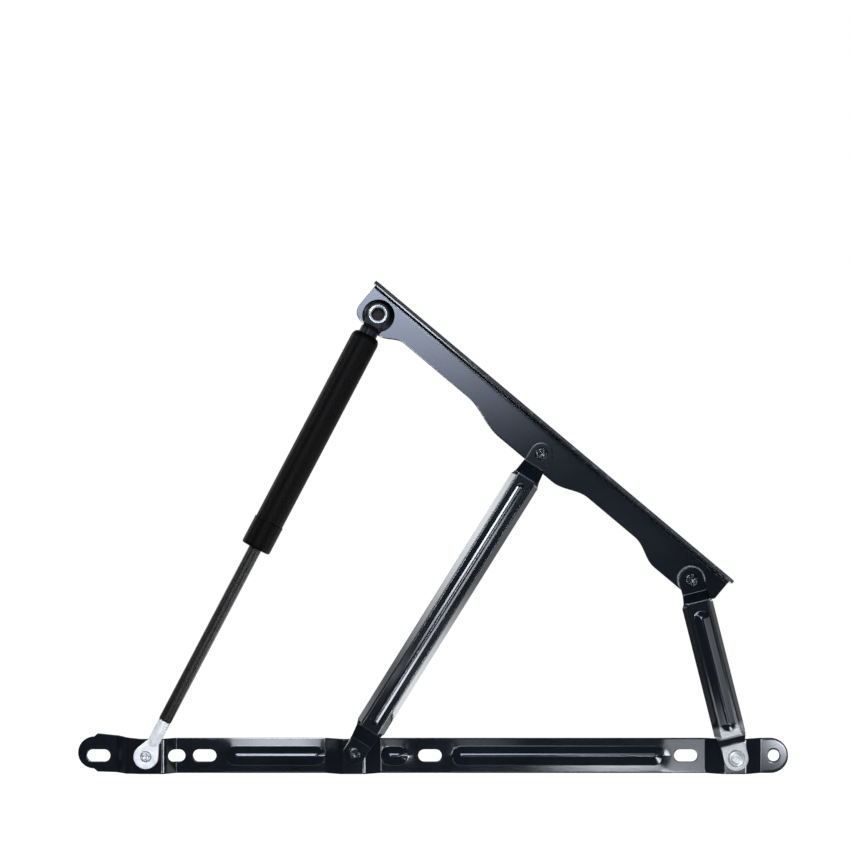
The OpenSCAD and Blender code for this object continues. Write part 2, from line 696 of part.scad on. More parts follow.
base_rail();
rail_link_rivet();
rail_link_washer();
rear_stud_fixed();
rear_stud_washer();
gas_stud_fixed();
long_link();
rear_link();
rear_stud_moving();
top_arm();
arm_link_rivet();
arm_link_washer();
arm_rear_rivet();
arm_rear_washer();
upper_gas_stud();
upper_gas_spacer();
gas_tube();
upper_eye();
tube_end_cap();
rod_guide();
rod_seal();
seal_retainer();
piston_rod();
piston();
piston_ring();
piston_nut();
lower_eye();
gas_stud_moving();
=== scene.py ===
"""Dresses one side unit of a lift-up bed: slotted wall rail, two pressed links, angle arm and gas spring.

All sizes are in millimetres, as seen from the front: x right, y up, depth towards the viewer. The rail's flat
back is depth 0. Bench.place turns such points into metres in the frame of the model.
"""

from __future__ import annotations

import json
import logging
import math
from dataclasses import dataclass, field
from enum import Enum

import bmesh
import bpy
import numpy as np
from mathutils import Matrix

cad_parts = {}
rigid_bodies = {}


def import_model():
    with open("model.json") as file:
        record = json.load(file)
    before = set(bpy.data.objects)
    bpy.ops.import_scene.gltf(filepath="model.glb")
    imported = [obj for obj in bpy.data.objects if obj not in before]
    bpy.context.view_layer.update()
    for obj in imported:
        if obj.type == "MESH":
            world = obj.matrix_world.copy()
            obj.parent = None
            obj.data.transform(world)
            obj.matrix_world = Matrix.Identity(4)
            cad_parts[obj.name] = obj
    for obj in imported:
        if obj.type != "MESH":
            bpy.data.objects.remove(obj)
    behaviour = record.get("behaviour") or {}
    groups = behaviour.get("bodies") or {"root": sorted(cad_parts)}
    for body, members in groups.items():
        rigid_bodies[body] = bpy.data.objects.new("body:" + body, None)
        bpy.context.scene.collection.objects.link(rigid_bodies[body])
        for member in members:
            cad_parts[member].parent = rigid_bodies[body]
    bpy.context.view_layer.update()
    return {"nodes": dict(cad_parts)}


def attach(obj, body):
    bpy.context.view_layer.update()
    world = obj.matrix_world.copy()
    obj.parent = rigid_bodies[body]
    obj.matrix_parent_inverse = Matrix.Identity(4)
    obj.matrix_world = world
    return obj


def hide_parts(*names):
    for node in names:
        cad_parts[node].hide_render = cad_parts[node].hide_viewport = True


LOG = logging.getLogger("bed_lift")
MM = 0.001


class Body(Enum):
    """The moving bodies of the mechanism."""

    RAIL = "rail"
    LONG_LINK = "long_link"
    TOP_ARM = "top_arm"
    REAR_LINK = "rear_link"
    GAS_CYLINDER = "gas_cylinder"
    GAS_ROD = "gas_rod"


class Turn(Enum):
    """Which way the axis of a turned shape runs in its bench."""

    ALONG = "along"
    OUT = "out"


@dataclass(frozen=True)
class Bench:
    """A flat frame in the front view, in which a piece is laid out.

    Attributes:
        x: its origin, to the right.
        y: its origin, upwards.
        turn: how far its first axis is turned, in degrees.
        depth: its origin, towards the viewer.
    """

    x: float = 0.0
    y: float = 0.0
    turn: float = 0.0
    depth: float = 0.0

    def front(self, local: np.ndarray) -> np.ndarray:
        """Turns bench points into front view points.

        Args:
            local: rows of along, across and depth.

        Returns:
            Rows of x, y and depth: turned about the depth axis, then moved to the origin.
        """
        c, s = math.cos(math.radians(self.turn)), math.sin(math.radians(self.turn))
        return np.column_stack(
            [
                self.x + c * local[:, 0] - s * local[:, 1],
                self.y + s * local[:, 0] + c * local[:, 1],
                self.depth + local[:, 2],
            ]
        )

    def place(self, local: np.ndarray) -> np.ndarray:
        """Turns bench points into metres in the model's frame: depth runs along -Y and up is Z."""
        p = self.front(local)
        return np.column_stack([p[:, 0], -p[:, 2], p[:, 1]]) * MM


@dataclass(frozen=True)
class Linkage:
    """Where the pivots are and how the pieces lie between them, in mm and degrees.

    Attributes:
        a: the long link's pivot on the rail.
        d: the rear link's pivot on the rail.
        f: the gas spring's pivot on the rail.
        long_length: the long link, pivot to pivot.
        open_angle: how steeply the long link stands.
        arm_slope: how steeply the arm falls.
        arm_pivots: from the long link's to the rear link's pivot on the arm.
        arm_tail: from there to the arm's end.
        b_along: from the arm's left end to the long link's pivot.
        bc_below: how far both links' pivots lie below the flange's outer face.
        e_along: from the arm's left end to the gas spring's pivot.
        e_below: how far that lies below the flange's outer face.
        gas_depth: depth of the gas spring's middle.
    """

    a: tuple[float, float] = (-28.9, 2.6)
    d: tuple[float, float] = (263.1, -1.2)
    f: tuple[float, float] = (-186.8, 1.2)
    long_length: float = 270.0
    open_angle: float = 58.0
    arm_slope: float = 40.0
    arm_pivots: float = 149.6
    arm_tail: float = 23.3
    b_along: float = 180.0
    bc_below: float = 18.7
    e_along: float = 16.6
    e_below: float = 17.7
    gas_depth: float = 25.5

    def on_arm(self, along: float, below: float) -> tuple[float, float]:
        """Front view place of a point on the arm.

        Args:
            along: its distance from the arm's left end.
            below: its distance below the flange's outer face.

        Returns:
            Its x and y.
        """
        t = math.radians(self.open_angle)
        bx, by = self.a[0] + self.long_length * math.cos(t), self.a[1] + self.long_length * math.sin(t)
        s = math.radians(-self.arm_slope)
        u, v = along - self.b_along, self.bc_below - below
        return bx + u * math.cos(s) - v * math.sin(s), by + u * math.sin(s) + v * math.cos(s)

    @property
    def b(self) -> tuple[float, float]:
        """The long link's pivot on the arm."""
        return self.on_arm(self.b_along, self.bc_below)

    @property
    def c(self) -> tuple[float, float]:
        """The rear link's pivot on the arm."""
        return self.on_arm(self.b_along + self.arm_pivots, self.bc_below)

    @property
    def e(self) -> tuple[float, float]:
        """The gas spring's pivot on the arm."""
        return self.on_arm(self.e_along, self.e_below)

    @property
    def rear_length(self) -> float:
        """Length of the rear link, pivot to pivot."""
        return math.dist(self.c, self.d)

    @property
    def gas_length(self) -> float:
        """Length of the gas spring, pivot to pivot."""
        return math.dist(self.e, self.f)

    def arm_bench(self) -> Bench:
        """Bench of the arm: its left end, on the flange's outer face."""
        x, y = self.on_arm(0.0, 0.0)
        return Bench(x, y, -self.arm_slope)

    def between(self, start: tuple[float, float], stop: tuple[float, float], depth: float = 0.0) -> Bench:
        """Bench whose first axis runs from one pivot to another."""
        turn = math.degrees(math.atan2(stop[1] - start[1], stop[0] - start[0]))
        return Bench(start[0], start[1], turn, depth)


LAY = Linkage()


def rounded_profile(
    corners: list[tuple[float, float]], radius: float | list[float], steps: int = 10
) -> np.ndarray:
    """Rounds the inner corners of a polyline.

    Each corner is replaced by the arc of the given radius that touches both its sides: the arc starts
    radius * tan(half the turn) before the corner and its centre lies on the side that the line turns to.

    Args:
        corners: the polyline's corners.
        radius: radius of the arcs, or one for each inner corner.
        steps: points of each arc, less one.

    Returns:
        Rows of two coordinates.
    """
    p = np.asarray(corners, dtype=float)
    parts = [p[:1]]
    radii = np.broadcast_to(radius, len(p) - 2)
    for before, at, after, r in zip(p[:-2], p[1:-1], p[2:], radii):
        way_in = (at - before) / np.linalg.norm(at - before)
        way_out = (after - at) / np.linalg.norm(after - at)
        cross = way_in[0] * way_out[1] - way_in[1] * way_out[0]
        turn = math.atan2(cross, float(way_in @ way_out))
        if abs(turn) < 1e-6:
            parts.append(at[None])
            continue
        side = math.copysign(1.0, turn)
        start = at - way_in * r * math.tan(abs(turn) / 2)
        normal = side * np.array([-way_in[1], way_in[0]])
        a = np.linspace(0.0, abs(turn), steps + 1)[:, None]
        parts.append(start + r * (np.sin(a) * way_in + (1 - np.cos(a)) * normal))
    parts.append(p[-1:])
    return np.concatenate(parts)


def arc(centre: tuple[float, float], radius: float, start: float, stop: float, steps: int = 24) -> np.ndarray:
    """Points of an arc, from one angle to another in degrees: centre + radius * (cos, sin)."""
    a = np.radians(np.linspace(start, stop, steps + 1))
    return np.column_stack([centre[0] + radius * np.cos(a), centre[1] + radius * np.sin(a)])


def smooth_step(x: np.ndarray, low: float, high: float) -> np.ndarray:
    """Rises from 0 at low to 1 at high as 3t^2 - 2t^3."""
    t = np.clip((x - low) / (high - low), 0.0, 1.0)
    return t * t * (3 - 2 * t)


def ease(x: np.ndarray, start: tuple[float, float], stop: tuple[float, float]) -> np.ndarray:
    """Half a cosine wave from one point to another, level at both ends."""
    t = np.clip((x - start[0]) / (stop[0] - start[0]), 0.0, 1.0)
    return start[1] + (stop[1] - start[1]) * (1 - np.cos(np.pi * t)) / 2


@dataclass(frozen=True)
class Rib:
    """A pressed rib with round ends: a rounded crest, straight flanks and a hollow foot.

    Attributes:
        start: where it begins along its sheet.
        stop: where it ends.
        width: its width over the feet.
        rise: its height.
        crest: radius of its crest.
        foot: radius of its feet.
    """

    start: float
    stop: float
    width: float
    rise: float
    crest: float
    foot: float = 1.2

    def height(self, along: np.ndarray, across: np.ndarray) -> np.ndarray:
        """Height above the sheet, by the distance from the rib's middle line.

        The profile is a triangle whose apex and feet are rounded. Its apex lies crest * (1 / cos f - 1)
        above the crest, with f the angle of the flanks, which takes a few rounds to settle.

        Args:
            along: places along the sheet.
            across: places across it, from the rib's middle line.

        Returns:
            The heights.
        """
        half = self.width / 2
        outside = half + 4.0
        apex = self.rise
        for _ in range(4):
            apex = self.rise + self.crest * (math.hypot(1.0, apex / half) - 1)
        corners = [(-outside, 0.0), (-half, 0.0), (0.0, apex), (half, 0.0), (outside, 0.0)]
        line = rounded_profile(corners, [self.foot, self.crest, self.foot], 14)
        reach = np.clip(along, self.start + half, self.stop - half) - along
        return np.interp(np.hypot(reach, across), line[:, 0], line[:, 1])

    def rows(self) -> np.ndarray:
        """Places across the rib that its curves need.

        Returns:
            Distances from its middle, dense on the crest and at the foot.
        """
        half = self.width / 2
        spare = 1.1
        bend = self.crest * math.sin(math.atan2(self.rise, half)) * spare
        foot = min(0.8, half / 4)
        crest = np.linspace(0.0, bend, 7)
        flank = np.linspace(bend, half - foot, 4)[1:]
        return np.concatenate([crest, flank, np.linspace(half - foot, half + foot, 7)[1:]])


@dataclass(frozen=True)
class Hole:
    """A round or slotted hole in a flat layout: its middle, half its length and its radius."""

    x: float
    y: float
    half: float
    r: float

    def onto(self, p: np.ndarray) -> np.ndarray:
        """Moves points onto the hole's edge: from the nearest point of its middle line, out by its radius.

        Args:
            p: points of the layout.

        Returns:
            As many points on the edge.
        """
        straight = self.half - self.r
        along = self.x + np.clip(p[:, 0] - self.x, -straight, straight)
        root = np.column_stack([along, np.full(len(p), self.y)])
        out = p - root
        return root + self.r * out / np.linalg.norm(out, axis=1)[:, None]


class PunchedSheet:
    """The middle surface of a sheet, laid out flat as columns and rows, with holes cut by rings of faces."""

    # Where the rings of faces lie between the line round a hole and the hole's edge.
    RINGS = (0.3, 0.52, 0.6, 0.84, 1.0)

    def __init__(self, columns: np.ndarray, across: np.ndarray) -> None:
        """Lays out the grid.

        Args:
            columns: places of the columns along the sheet.
            across: for each column, the places of its rows.
        """
        n, m = across.shape
        self.columns = columns
        self.ids = np.arange(n * m).reshape(n, m)
        self.points = np.column_stack([np.repeat(columns, m), across.ravel()])
        edge = np.minimum(across - across[:, :1], across[:, -1:] - across)
        self.rim = [np.abs(edge).ravel()]
        self.kept = np.ones((n - 1, m - 1), dtype=bool)
        self.parts = [self.points]
        self.rings: list[np.ndarray] = []
        self.count = n * m

    def _ring(self, outer: np.ndarray, outer_xy: np.ndarray, hole: Hole, rim: np.ndarray) -> None:
        """Fills the room between a closed line and a hole: each ring is (1 - t) * line + t * hole's edge.

        Args:
            outer: numbers of the line's points.
            outer_xy: where they lie.
            hole: the hole.
            rim: each of those points' distance from the nearest cut edge.
        """
        inner_xy = hole.onto(outer_xy)
        gap = np.linalg.norm(inner_xy - outer_xy, axis=1)
        last = outer
        for t in self.RINGS:
            self.parts.append(outer_xy * (1 - t) + inner_xy * t)
            self.rim.append(np.minimum(rim + gap * t, gap * (1 - t)))
            here = self.count + np.arange(len(outer))
            self.count += len(outer)
            self.rings.append(np.column_stack([last, np.roll(last, -1), np.roll(here, -1), here]))
            last = here

    def punch(self, hole: Hole, margin: float) -> None:
        """Cuts a hole out of the grid, inside the block of cells that holds it and a margin.

        Args:
            hole: the hole.
            margin: how much wider than the hole the block is on each side.
        """
        ids = self.ids
        sides = (-1, 1)
        i0, i1 = (int(np.argmin(np.abs(self.columns - (hole.x + s * (hole.half + margin))))) for s in sides)
        middle = self.points[ids[(i0 + i1) // 2], 1]
        j0, j1 = sorted(int(np.argmin(np.abs(middle - (hole.y + s * (hole.r + margin))))) for s in sides)
        self.kept[i0:i1, j0:j1] = False
        loop = np.concatenate([ids[i0:i1, j0], ids[i1, j0:j1], ids[i1:i0:-1, j1], ids[i0, j1:j0:-1]])
        self._ring(loop, self.points[loop], hole, self.rim[0][loop])

    def cap(self, outline: np.ndarray, hole: Hole, left: bool) -> None:
        """Closes one end of the grid with a rounded end round a hole.

        Args:
            outline: the end's outline, between the corners of the first or last column.
            hole: the hole in the end.
            left: whether it is the end of the first column.
        """
        column = self.ids[0] if left else self.ids[-1][::-1]
        new = self.count + np.arange(len(outline))
        cut = np.zeros(len(outline))
        self.count += len(outline)
        self.parts.append(outline)
        self.rim.append(cut)
        line = np.concatenate([self.points[column], outline])
        self._ring(np.concatenate([column, new]), line, hole, np.concatenate([self.rim[0][column], cut]))

    def faces(self) -> np.ndarray:
        """Quads of the kept cells and of every ring."""
        return np.concatenate([quads(self.ids)[self.kept.ravel()], *self.rings])

    def layout(self) -> np.ndarray:
        """All points of the flat layout."""
        return np.concatenate(self.parts)

    def edge_distance(self) -> np.ndarray:
        """Each point's distance from the nearest cut edge, in mm."""
        return np.concatenate(self.rim)


def quads(ids: np.ndarray) -> np.ndarray:
    """Quads of a grid of point numbers: each cell's four corners, one after the other round it."""
    corners = ids[:-1, :-1], ids[1:, :-1], ids[1:, 1:], ids[:-1, 1:]
    return np.column_stack([corner.ravel() for corner in corners])


def grid_faces(n: int, m: int, around: bool) -> np.ndarray:
    """Quads of a grid of n by m points, closed along its second direction if around is set."""
    ids = np.arange(n * m).reshape(n, m)
    return quads(np.column_stack([ids, ids[:, :1]]) if around else ids)


def turned(profile: np.ndarray, turn: Turn, segments: int = 96) -> tuple[np.ndarray, np.ndarray]:
    """Carries a profile of place and radius round its axis.

    A point at place p and radius r becomes (p, r cos a, r sin a), or with the axis towards the viewer
    (r cos a, r sin a, p).

    Args:
        profile: rows of place along the axis and radius.
        turn: which way the axis runs.
        segments: steps round the axis.

    Returns:
        Bench points and quads.
    """
    a = np.linspace(0.0, 2 * np.pi, segments, endpoint=False)
    place = np.repeat(profile[:, 0], segments)
    y = (profile[:, 1:] * np.cos(a)).ravel()
    z = (profile[:, 1:] * np.sin(a)).ravel()
    points = np.column_stack([place, y, z] if turn is Turn.ALONG else [y, z, place])
    return points, grid_faces(len(profile), segments, around=True)


def ring_plate(
    outer: np.ndarray, inner: np.ndarray, low: float, high: float
) -> tuple[np.ndarray, np.ndarray]:
    """A flat plate between two closed outlines with as many points each.

    Its cross-section is carried round: outer edge in front, inner edge in front, inner edge behind, outer
    edge behind. Halfway points are added across the faces, so that shading stays flat.

    Args:
        outer: the outer outline.
        inner: the inner outline.
        low: depth of the back.
        high: depth of the front.

    Returns:
        Bench points and quads.
    """
    mid = (outer + inner) / 2
    loops = [(outer, high), (mid, high), (inner, high), (inner, low), (mid, low), (outer, low)]
    points = np.concatenate([np.column_stack([p, np.full(len(p), z)]) for p, z in loops])
    ids = np.arange(len(points)).reshape(len(loops), len(outer))
    ids = np.column_stack([ids, ids[:, :1]])
    return points, quads(np.concatenate([ids, ids[:1]]))


def make_piece(name: str, points: np.ndarray, faces: np.ndarray, rim: np.ndarray | None = None,
               painted_highlight: np.ndarray | None = None) -> bpy.types.Object:
    """Makes a closed, smooth mesh object at the origin.

    Args:
        name: the piece's name.
        points: metres, in the model's frame.
        faces: quads.
        rim: distance from a cut edge for each point, in mm, kept as an attribute.
        painted_highlight: how far each point takes the bright metal of a painted highlight, from 0 to 1, kept
            as an attribute.

    Returns:
        The new object.
    """
    mesh = bpy.data.meshes.new(name)
    mesh.from_pydata(points.tolist(), [], faces.tolist())
    for label, values in (("rim", rim), ("painted_highlight", painted_highlight)):
        if values is not None:
            layer = mesh.attributes.new(label, "FLOAT", "POINT")
            layer.data.foreach_set("value", values.astype(np.float32))
    bm = bmesh.new()
    bm.from_mesh(mesh)
    bmesh.ops.remove_doubles(bm, verts=bm.verts, dist=1e-6)
    bmesh.ops.recalc_face_normals(bm, faces=bm.faces)
    bm.to_mesh(mesh)
    bm.free()
    mesh.polygons.foreach_set("use_smooth", np.ones(len(mesh.polygons), dtype=bool))
    piece = bpy.data.objects.new(name, mesh)
    bpy.context.scene.collection.objects.link(piece)
    return piece


def thicken(piece: bpy.types.Object, thickness: float) -> None:
    """Gives a sheet its wall, half to each side of its middle surface.

    Args:
        piece: the sheet.
        thickness: of the wall, in mm.
    """
    wall = piece.modifiers.new("wall", "SOLIDIFY")
    wall.thickness = thickness * MM
    wall.offset = 0.0
    wall.use_even_offset = True


def break_edges(piece: bpy.types.Object, width: float, segments: int = 2, angle: float = 38.0) -> None:
    """Rounds a piece's sharp edges and keeps its flats flat.

    Args:
        piece: the piece.
        width: how far the rounding reaches from an edge, in mm.
        segments: steps of the rounding.
        angle: smallest turn of a sharp edge, in degrees.
    """
    bevel = piece.modifiers.new("edges", "BEVEL")
    bevel.width = width * MM
    bevel.segments = segments
    bevel.limit_method = "ANGLE"
    bevel.angle_limit = math.radians(angle)
    bevel.use_clamp_overlap = False
    piece.modifiers.new("normals", "WEIGHTED_NORMAL")


def linear(code: str) -> tuple[float, float, float, float]:
    """Turns an sRGB hex value such as #1A2B3C into linear RGBA, by the two parts of the sRGB curve."""
    rgb = [int(code[i : i + 2], 16) / 255 for i in (1, 3, 5)]
    return (*(v / 12.92 if v <= 0.04045 else ((v + 0.055) / 1.055) ** 2.4 for v in rgb), 1.0)


def empty_tree(owner: bpy.types.Material | bpy.types.World | bpy.types.Light) -> bpy.types.NodeTree:
    """Switches an owner's nodes on and clears them.

    Args:
        owner: the material, world or lamp.

    Returns:
        Its node tree.
    """
    owner.use_nodes = True
    owner.node_tree.nodes.clear()
    return owner.node_tree


def node(
    tree: bpy.types.NodeTree, kind: str, links: dict | None = None, **settings: object
) -> bpy.types.Node:
    """Adds a node with its settings and its inputs.

    Args:
        tree: the node tree.
        kind: the node's type.
        links: for each input's name or number, a value or another node's output.
        settings: the node's own properties.

    Returns:
        The new node.
    """
    made = tree.nodes.new(kind)
    for key, value in settings.items():
        setattr(made, key, value)
    for key, value in (links or {}).items():
        if isinstance(value, bpy.types.NodeSocket):
            tree.links.new(value, made.inputs[key])
        else:
            made.inputs[key].default_value = value
    return made


@dataclass(frozen=True)
class Finish:
    """One finish, drawn from real sizes in mm.

    Attributes:
        name: what the material is.
        colour: its main colour.
        shade: the colour that it drifts to in soft patches.
        metallic: whether it is uncoated metal.
        rough: lowest and highest roughness.
        patch: size of the soft patches.
        grain: size of the surface's fine grain.
        bump: height of that grain.
        stretch: how much longer the grain is along X, Y and Z.
        depth: share of the light that sinks into a thick dark coating and is lost in it.
        level: how strongly a bare face mirrors, 0.5 for common paints and plastics.
        tint: colour of what it mirrors.
        edge: colour of the worn cut edges, or nothing.
        highlight_patch: colour of the bright metal painted as a highlight where a reflection shows.
    """

    name: str
    colour: str
    shade: str
    metallic: float = 0.0
    rough: tuple[float, float] = (0.3, 0.4)
    patch: float = 25.0
    grain: float = 1.2
    bump: float = 0.01
    stretch: tuple[float, float, float] = (1.0, 1.0, 1.0)
    depth: float = 0.0
    level: float = 0.5
    tint: str = "#FFFFFF"
    edge: str = ""
    highlight_patch: str = ""

    def build(self) -> bpy.types.Material:
        """Makes the material's nodes.

        Returns:
            A material whose colour and roughness drift with soft noise, with a fine grain as bump, and
            with worn edges and a painted highlight of bright metal where the piece's attributes say so.
        """
        made = bpy.data.materials.new(self.name)
        tree = empty_tree(made)
        spot = node(tree, "ShaderNodeTexCoord").outputs["Object"]
        patches = node(tree, "ShaderNodeTexNoise", {
            "Vector": spot, "Scale": 1000 / self.patch, "Detail": 3.0, "Roughness": 0.55}).outputs["Fac"]
        drift = node(tree, "ShaderNodeMapRange", {
            "Value": patches, "From Min": 0.35, "From Max": 0.65}).outputs["Result"]
        colour = node(tree, "ShaderNodeMix", {
            "Factor": drift, 6: linear(self.colour), 7: linear(self.shade)}, data_type="RGBA").outputs[2]
        rough = node(tree, "ShaderNodeMapRange", {
            "Value": patches, "From Min": 0.3, "From Max": 0.7,
            "To Min": self.rough[0], "To Max": self.rough[1]}).outputs["Result"]
        laid = node(tree, "ShaderNodeMapping", {
            "Vector": spot, "Scale": tuple(1 / s for s in self.stretch)}).outputs["Vector"]
        grain = node(tree, "ShaderNodeTexNoise", {
            "Vector": laid, "Scale": 1000 / self.grain, "Detail": 2.0}).outputs["Fac"]
        bump = node(tree, "ShaderNodeBump", {
            "Height": grain, "Strength": 1.0, "Distance": self.bump * MM}).outputs["Normal"]
        metal: bpy.types.NodeSocket | float = self.metallic
        if self.edge:
            # The coating wears off cut edges in chips of about 4 mm, at most 0.6 mm from the edge.
            far = node(tree, "ShaderNodeAttribute", attribute_name="rim").outputs["Fac"]
            chips = node(tree, "ShaderNodeTexNoise", {
                "Vector": spot, "Scale": 1000 / 4.0, "Detail": 4.0}).outputs["Fac"]
            reach = node(tree, "ShaderNodeMath", {0: far, 1: 0.35}, operation="MULTIPLY").outputs[0]
            worn = node(tree, "ShaderNodeMath", {0: chips, 1: reach}, operation="SUBTRACT").outputs[0]
            worn = node(tree, "ShaderNodeMapRange", {
                "Value": worn, "From Min": 0.55, "From Max": 0.75}).outputs["Result"]
            colour = node(tree, "ShaderNodeMix", {
                "Factor": worn, 6: colour, 7: linear(self.edge)}, data_type="RGBA").outputs[2]
            # A sheared face is torn, so its coating is matt, up to 0.2 mm round the edge.
            rough = node(tree, "ShaderNodeMapRange", {
                "Value": far, "From Min": 0.02, "From Max": 0.2,
                "To Min": 0.7, "To Max": rough}).outputs["Result"]
        # Painted highlight: where the piece's attribute says so, the black coat gives way to bright metal
        # that mirrors the lamps, in place of a reflection.
        if self.highlight_patch:
            highlight_share = node(tree, "ShaderNodeAttribute", attribute_name="painted_highlight").outputs["Fac"]
            colour = node(tree, "ShaderNodeMix", {
                "Factor": highlight_share, 6: colour, 7: linear(self.highlight_patch)}, data_type="RGBA").outputs[2]
            metal = node(tree, "ShaderNodeMath", {0: highlight_share, 1: 0.8}, operation="MULTIPLY").outputs[0]
            rough = node(tree, "ShaderNodeMix", {
                "Factor": highlight_share, 2: rough, 3: 0.3}, data_type="FLOAT").outputs[0]
        shader = node(tree, "ShaderNodeBsdfPrincipled", {
            "Base Color": colour, "Metallic": metal, "Roughness": rough, "Normal": bump,
            "Specular IOR Level": self.level, "Specular Tint": linear(self.tint)}).outputs["BSDF"]
        if self.depth:
            lost = node(tree, "ShaderNodeBsdfTranslucent", {
                "Color": linear("#FFFFFF"), "Normal": bump}).outputs["BSDF"]
            shader = node(tree, "ShaderNodeMixShader", {
                0: self.depth, 1: shader, 2: lost}).outputs["Shader"]
        node(tree, "ShaderNodeOutputMaterial", {"Surface": shader})
        return made


class Finishes:
    """The finishes of this mechanism, made once and shared by its pieces."""

    def __init__(self) -> None:
        """Builds every finish."""
        # Cathodic e-coat on pressed steel: a thin glossy black film with a faint blue cast that shows the
        # waviness of the rolled sheet. Its real orange peel is about 0.5 mm, drawn at 9 mm so that it shows.
        # The pale metal colour given to it below is for a painted highlight: bright metal where the rear
        # link's far end shows a reflection.
        self.coated = Finish(
            "black_e_coat_on_pressed_steel", "#06090E", "#0A0E14", rough=(0.07, 0.1), patch=45.0, grain=9.0,
            bump=0.004, depth=0.035, level=0.7, tint="#EFF4FF", edge="#343A42", highlight_patch="#8F9296").build()
        # Spray paint on drawn tube: satin black. Its orange peel is about 1 mm, drawn at 3 mm so that it
        # shows.
        self.tube_paint = Finish(
            "satin_black_paint_on_drawn_tube", "#020202", "#040404", rough=(0.42, 0.5), patch=18.0, grain=3.0,
            bump=0.002, level=0.06).build()
        # Nitrided and ground rod: a hard brown-black layer that mirrors little. Its real grain is about
        # 0.02 mm, drawn at 2 mm so that it shows.
        self.rod = Finish(
            "black_nitrided_ground_rod", "#0B0B0C", "#121213", rough=(0.3, 0.36), patch=12.0, grain=2.0,
            bump=0.002, level=0.25).build()
        # Zinc plate on a cast eye: pale, a little milky, with the grain of the casting under it.
        self.zinc = Finish(
            "bright_zinc_plate_on_cast_steel", "#BDC0C3", "#A9ADB1", metallic=0.25, rough=(0.3, 0.42),
            patch=6.0, grain=1.6, bump=0.015).build()
        # Turned and rolled steel, nickel plated: bright, with faint turning marks, drawn at 1.5 mm.
        self.bright = Finish(
            "rolled_bright_steel", "#B4B7BB", "#989BA0", metallic=0.6, rough=(0.22, 0.32), patch=5.0,
            grain=1.5, bump=0.001).build()
        # Peened steel of a rivet whose coating has cracked off: grey, hammered.
        self.peened = Finish(
            "peened_steel", "#B4B7BA", "#8F9397", metallic=0.7, rough=(0.32, 0.45), patch=3.0, grain=1.1,
            bump=0.03).build()
        # The same rivets under e-coat: black, with fine bright lines where the hammered head turns.
        self.dark_rivet = Finish(
            "black_e_coat_on_peened_steel", "#06090E", "#0E1217", rough=(0.08, 0.14), patch=3.0, grain=2.0,
            bump=0.006, depth=0.035, level=0.5, tint="#EFF4FF").build()
        # Forged eye and spacer, phosphated and oiled: a soft black with little gloss.
        self.forged = Finish(
            "oiled_black_forging", "#060708", "#0B0C0E", rough=(0.3, 0.38), patch=5.0, grain=1.8, bump=0.008,
            level=0.12, tint="#DCEBFF").build()
        # Rolled steel washers, oiled: mid grey with the mill's fine lines.
        self.washer = Finish(
            "plain_rolled_steel", "#6C7075", "#54585D", metallic=1.0, rough=(0.35, 0.5), patch=4.0,
            grain=0.9, bump=0.01, stretch=(8.0, 1.0, 1.0)).build()
        # Moulded nylon cap: near black. Its spark-eroded texture is about 0.1 mm, drawn at 2 mm.
        self.nylon = Finish(
            "moulded_black_nylon", "#020202", "#030303", rough=(0.38, 0.46), patch=10.0, grain=2.0,
            bump=0.006, level=0.05).build()
        # Cast and turned brass bush of the rod: yellow, with fine turning marks.
        self.brass = Finish(
            "turned_brass", "#B08D4C", "#9A783C", metallic=1.0, rough=(0.25, 0.38), patch=5.0, grain=0.8,
            bump=0.006).build()
        # Turned aluminium piston: pale grey, with fine turning marks.
        self.aluminium = Finish(
            "turned_aluminium", "#C4C7CA", "#B0B4B8", metallic=1.0, rough=(0.28, 0.4), patch=5.0, grain=0.8,
            bump=0.006).build()
        # Moulded nitrile rubber of the seals: dull and slightly dusty.
        self.rubber = Finish(
            "moulded_nitrile_rubber", "#141414", "#1C1C1C", rough=(0.6, 0.75), patch=4.0, grain=0.7,
            bump=0.02).build()


def dress(piece: bpy.types.Object, finish: bpy.types.Material) -> None:
    """Gives a piece its only material."""
    piece.data.materials.clear()
    piece.data.materials.append(finish)


def hand_over(
    piece: bpy.types.Object, finish: bpy.types.Material, body: Body, stands_for: tuple[str, ...]
) -> None:
    """Dresses a piece, lets it ride on its body in place of the model's own solids, and logs it.

    Args:
        piece: the piece.
        finish: its material.
        body: what it rides on.
        stands_for: the solids that it replaces, or none.
    """
    dress(piece, finish)
    if stands_for:
        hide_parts(*stands_for)
    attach(piece, body.value)
    LOG.info("made %s on %s for %s", piece.name, body.value, ", ".join(stands_for) or "no solid")


def press(
    name: str, sheet: PunchedSheet, points: np.ndarray, painted_highlight: np.ndarray, wall: float, edge: float
) -> bpy.types.Object:
    """Makes a piece of punched sheet, with its wall and its rounded edges.

    Args:
        name: the piece's name.
        sheet: the flat sheet.
        points: its points, folded, in metres.
        painted_highlight: how far each of them takes the bright metal of a painted highlight.
        wall: its thickness in mm.
        edge: how far its cut edges are rounded, in mm.

    Returns:
        The new object.
    """
    piece = make_piece(name, points, sheet.faces(), sheet.edge_distance(), painted_highlight)
    thicken(piece, wall)
    break_edges(piece, edge)
    return piece


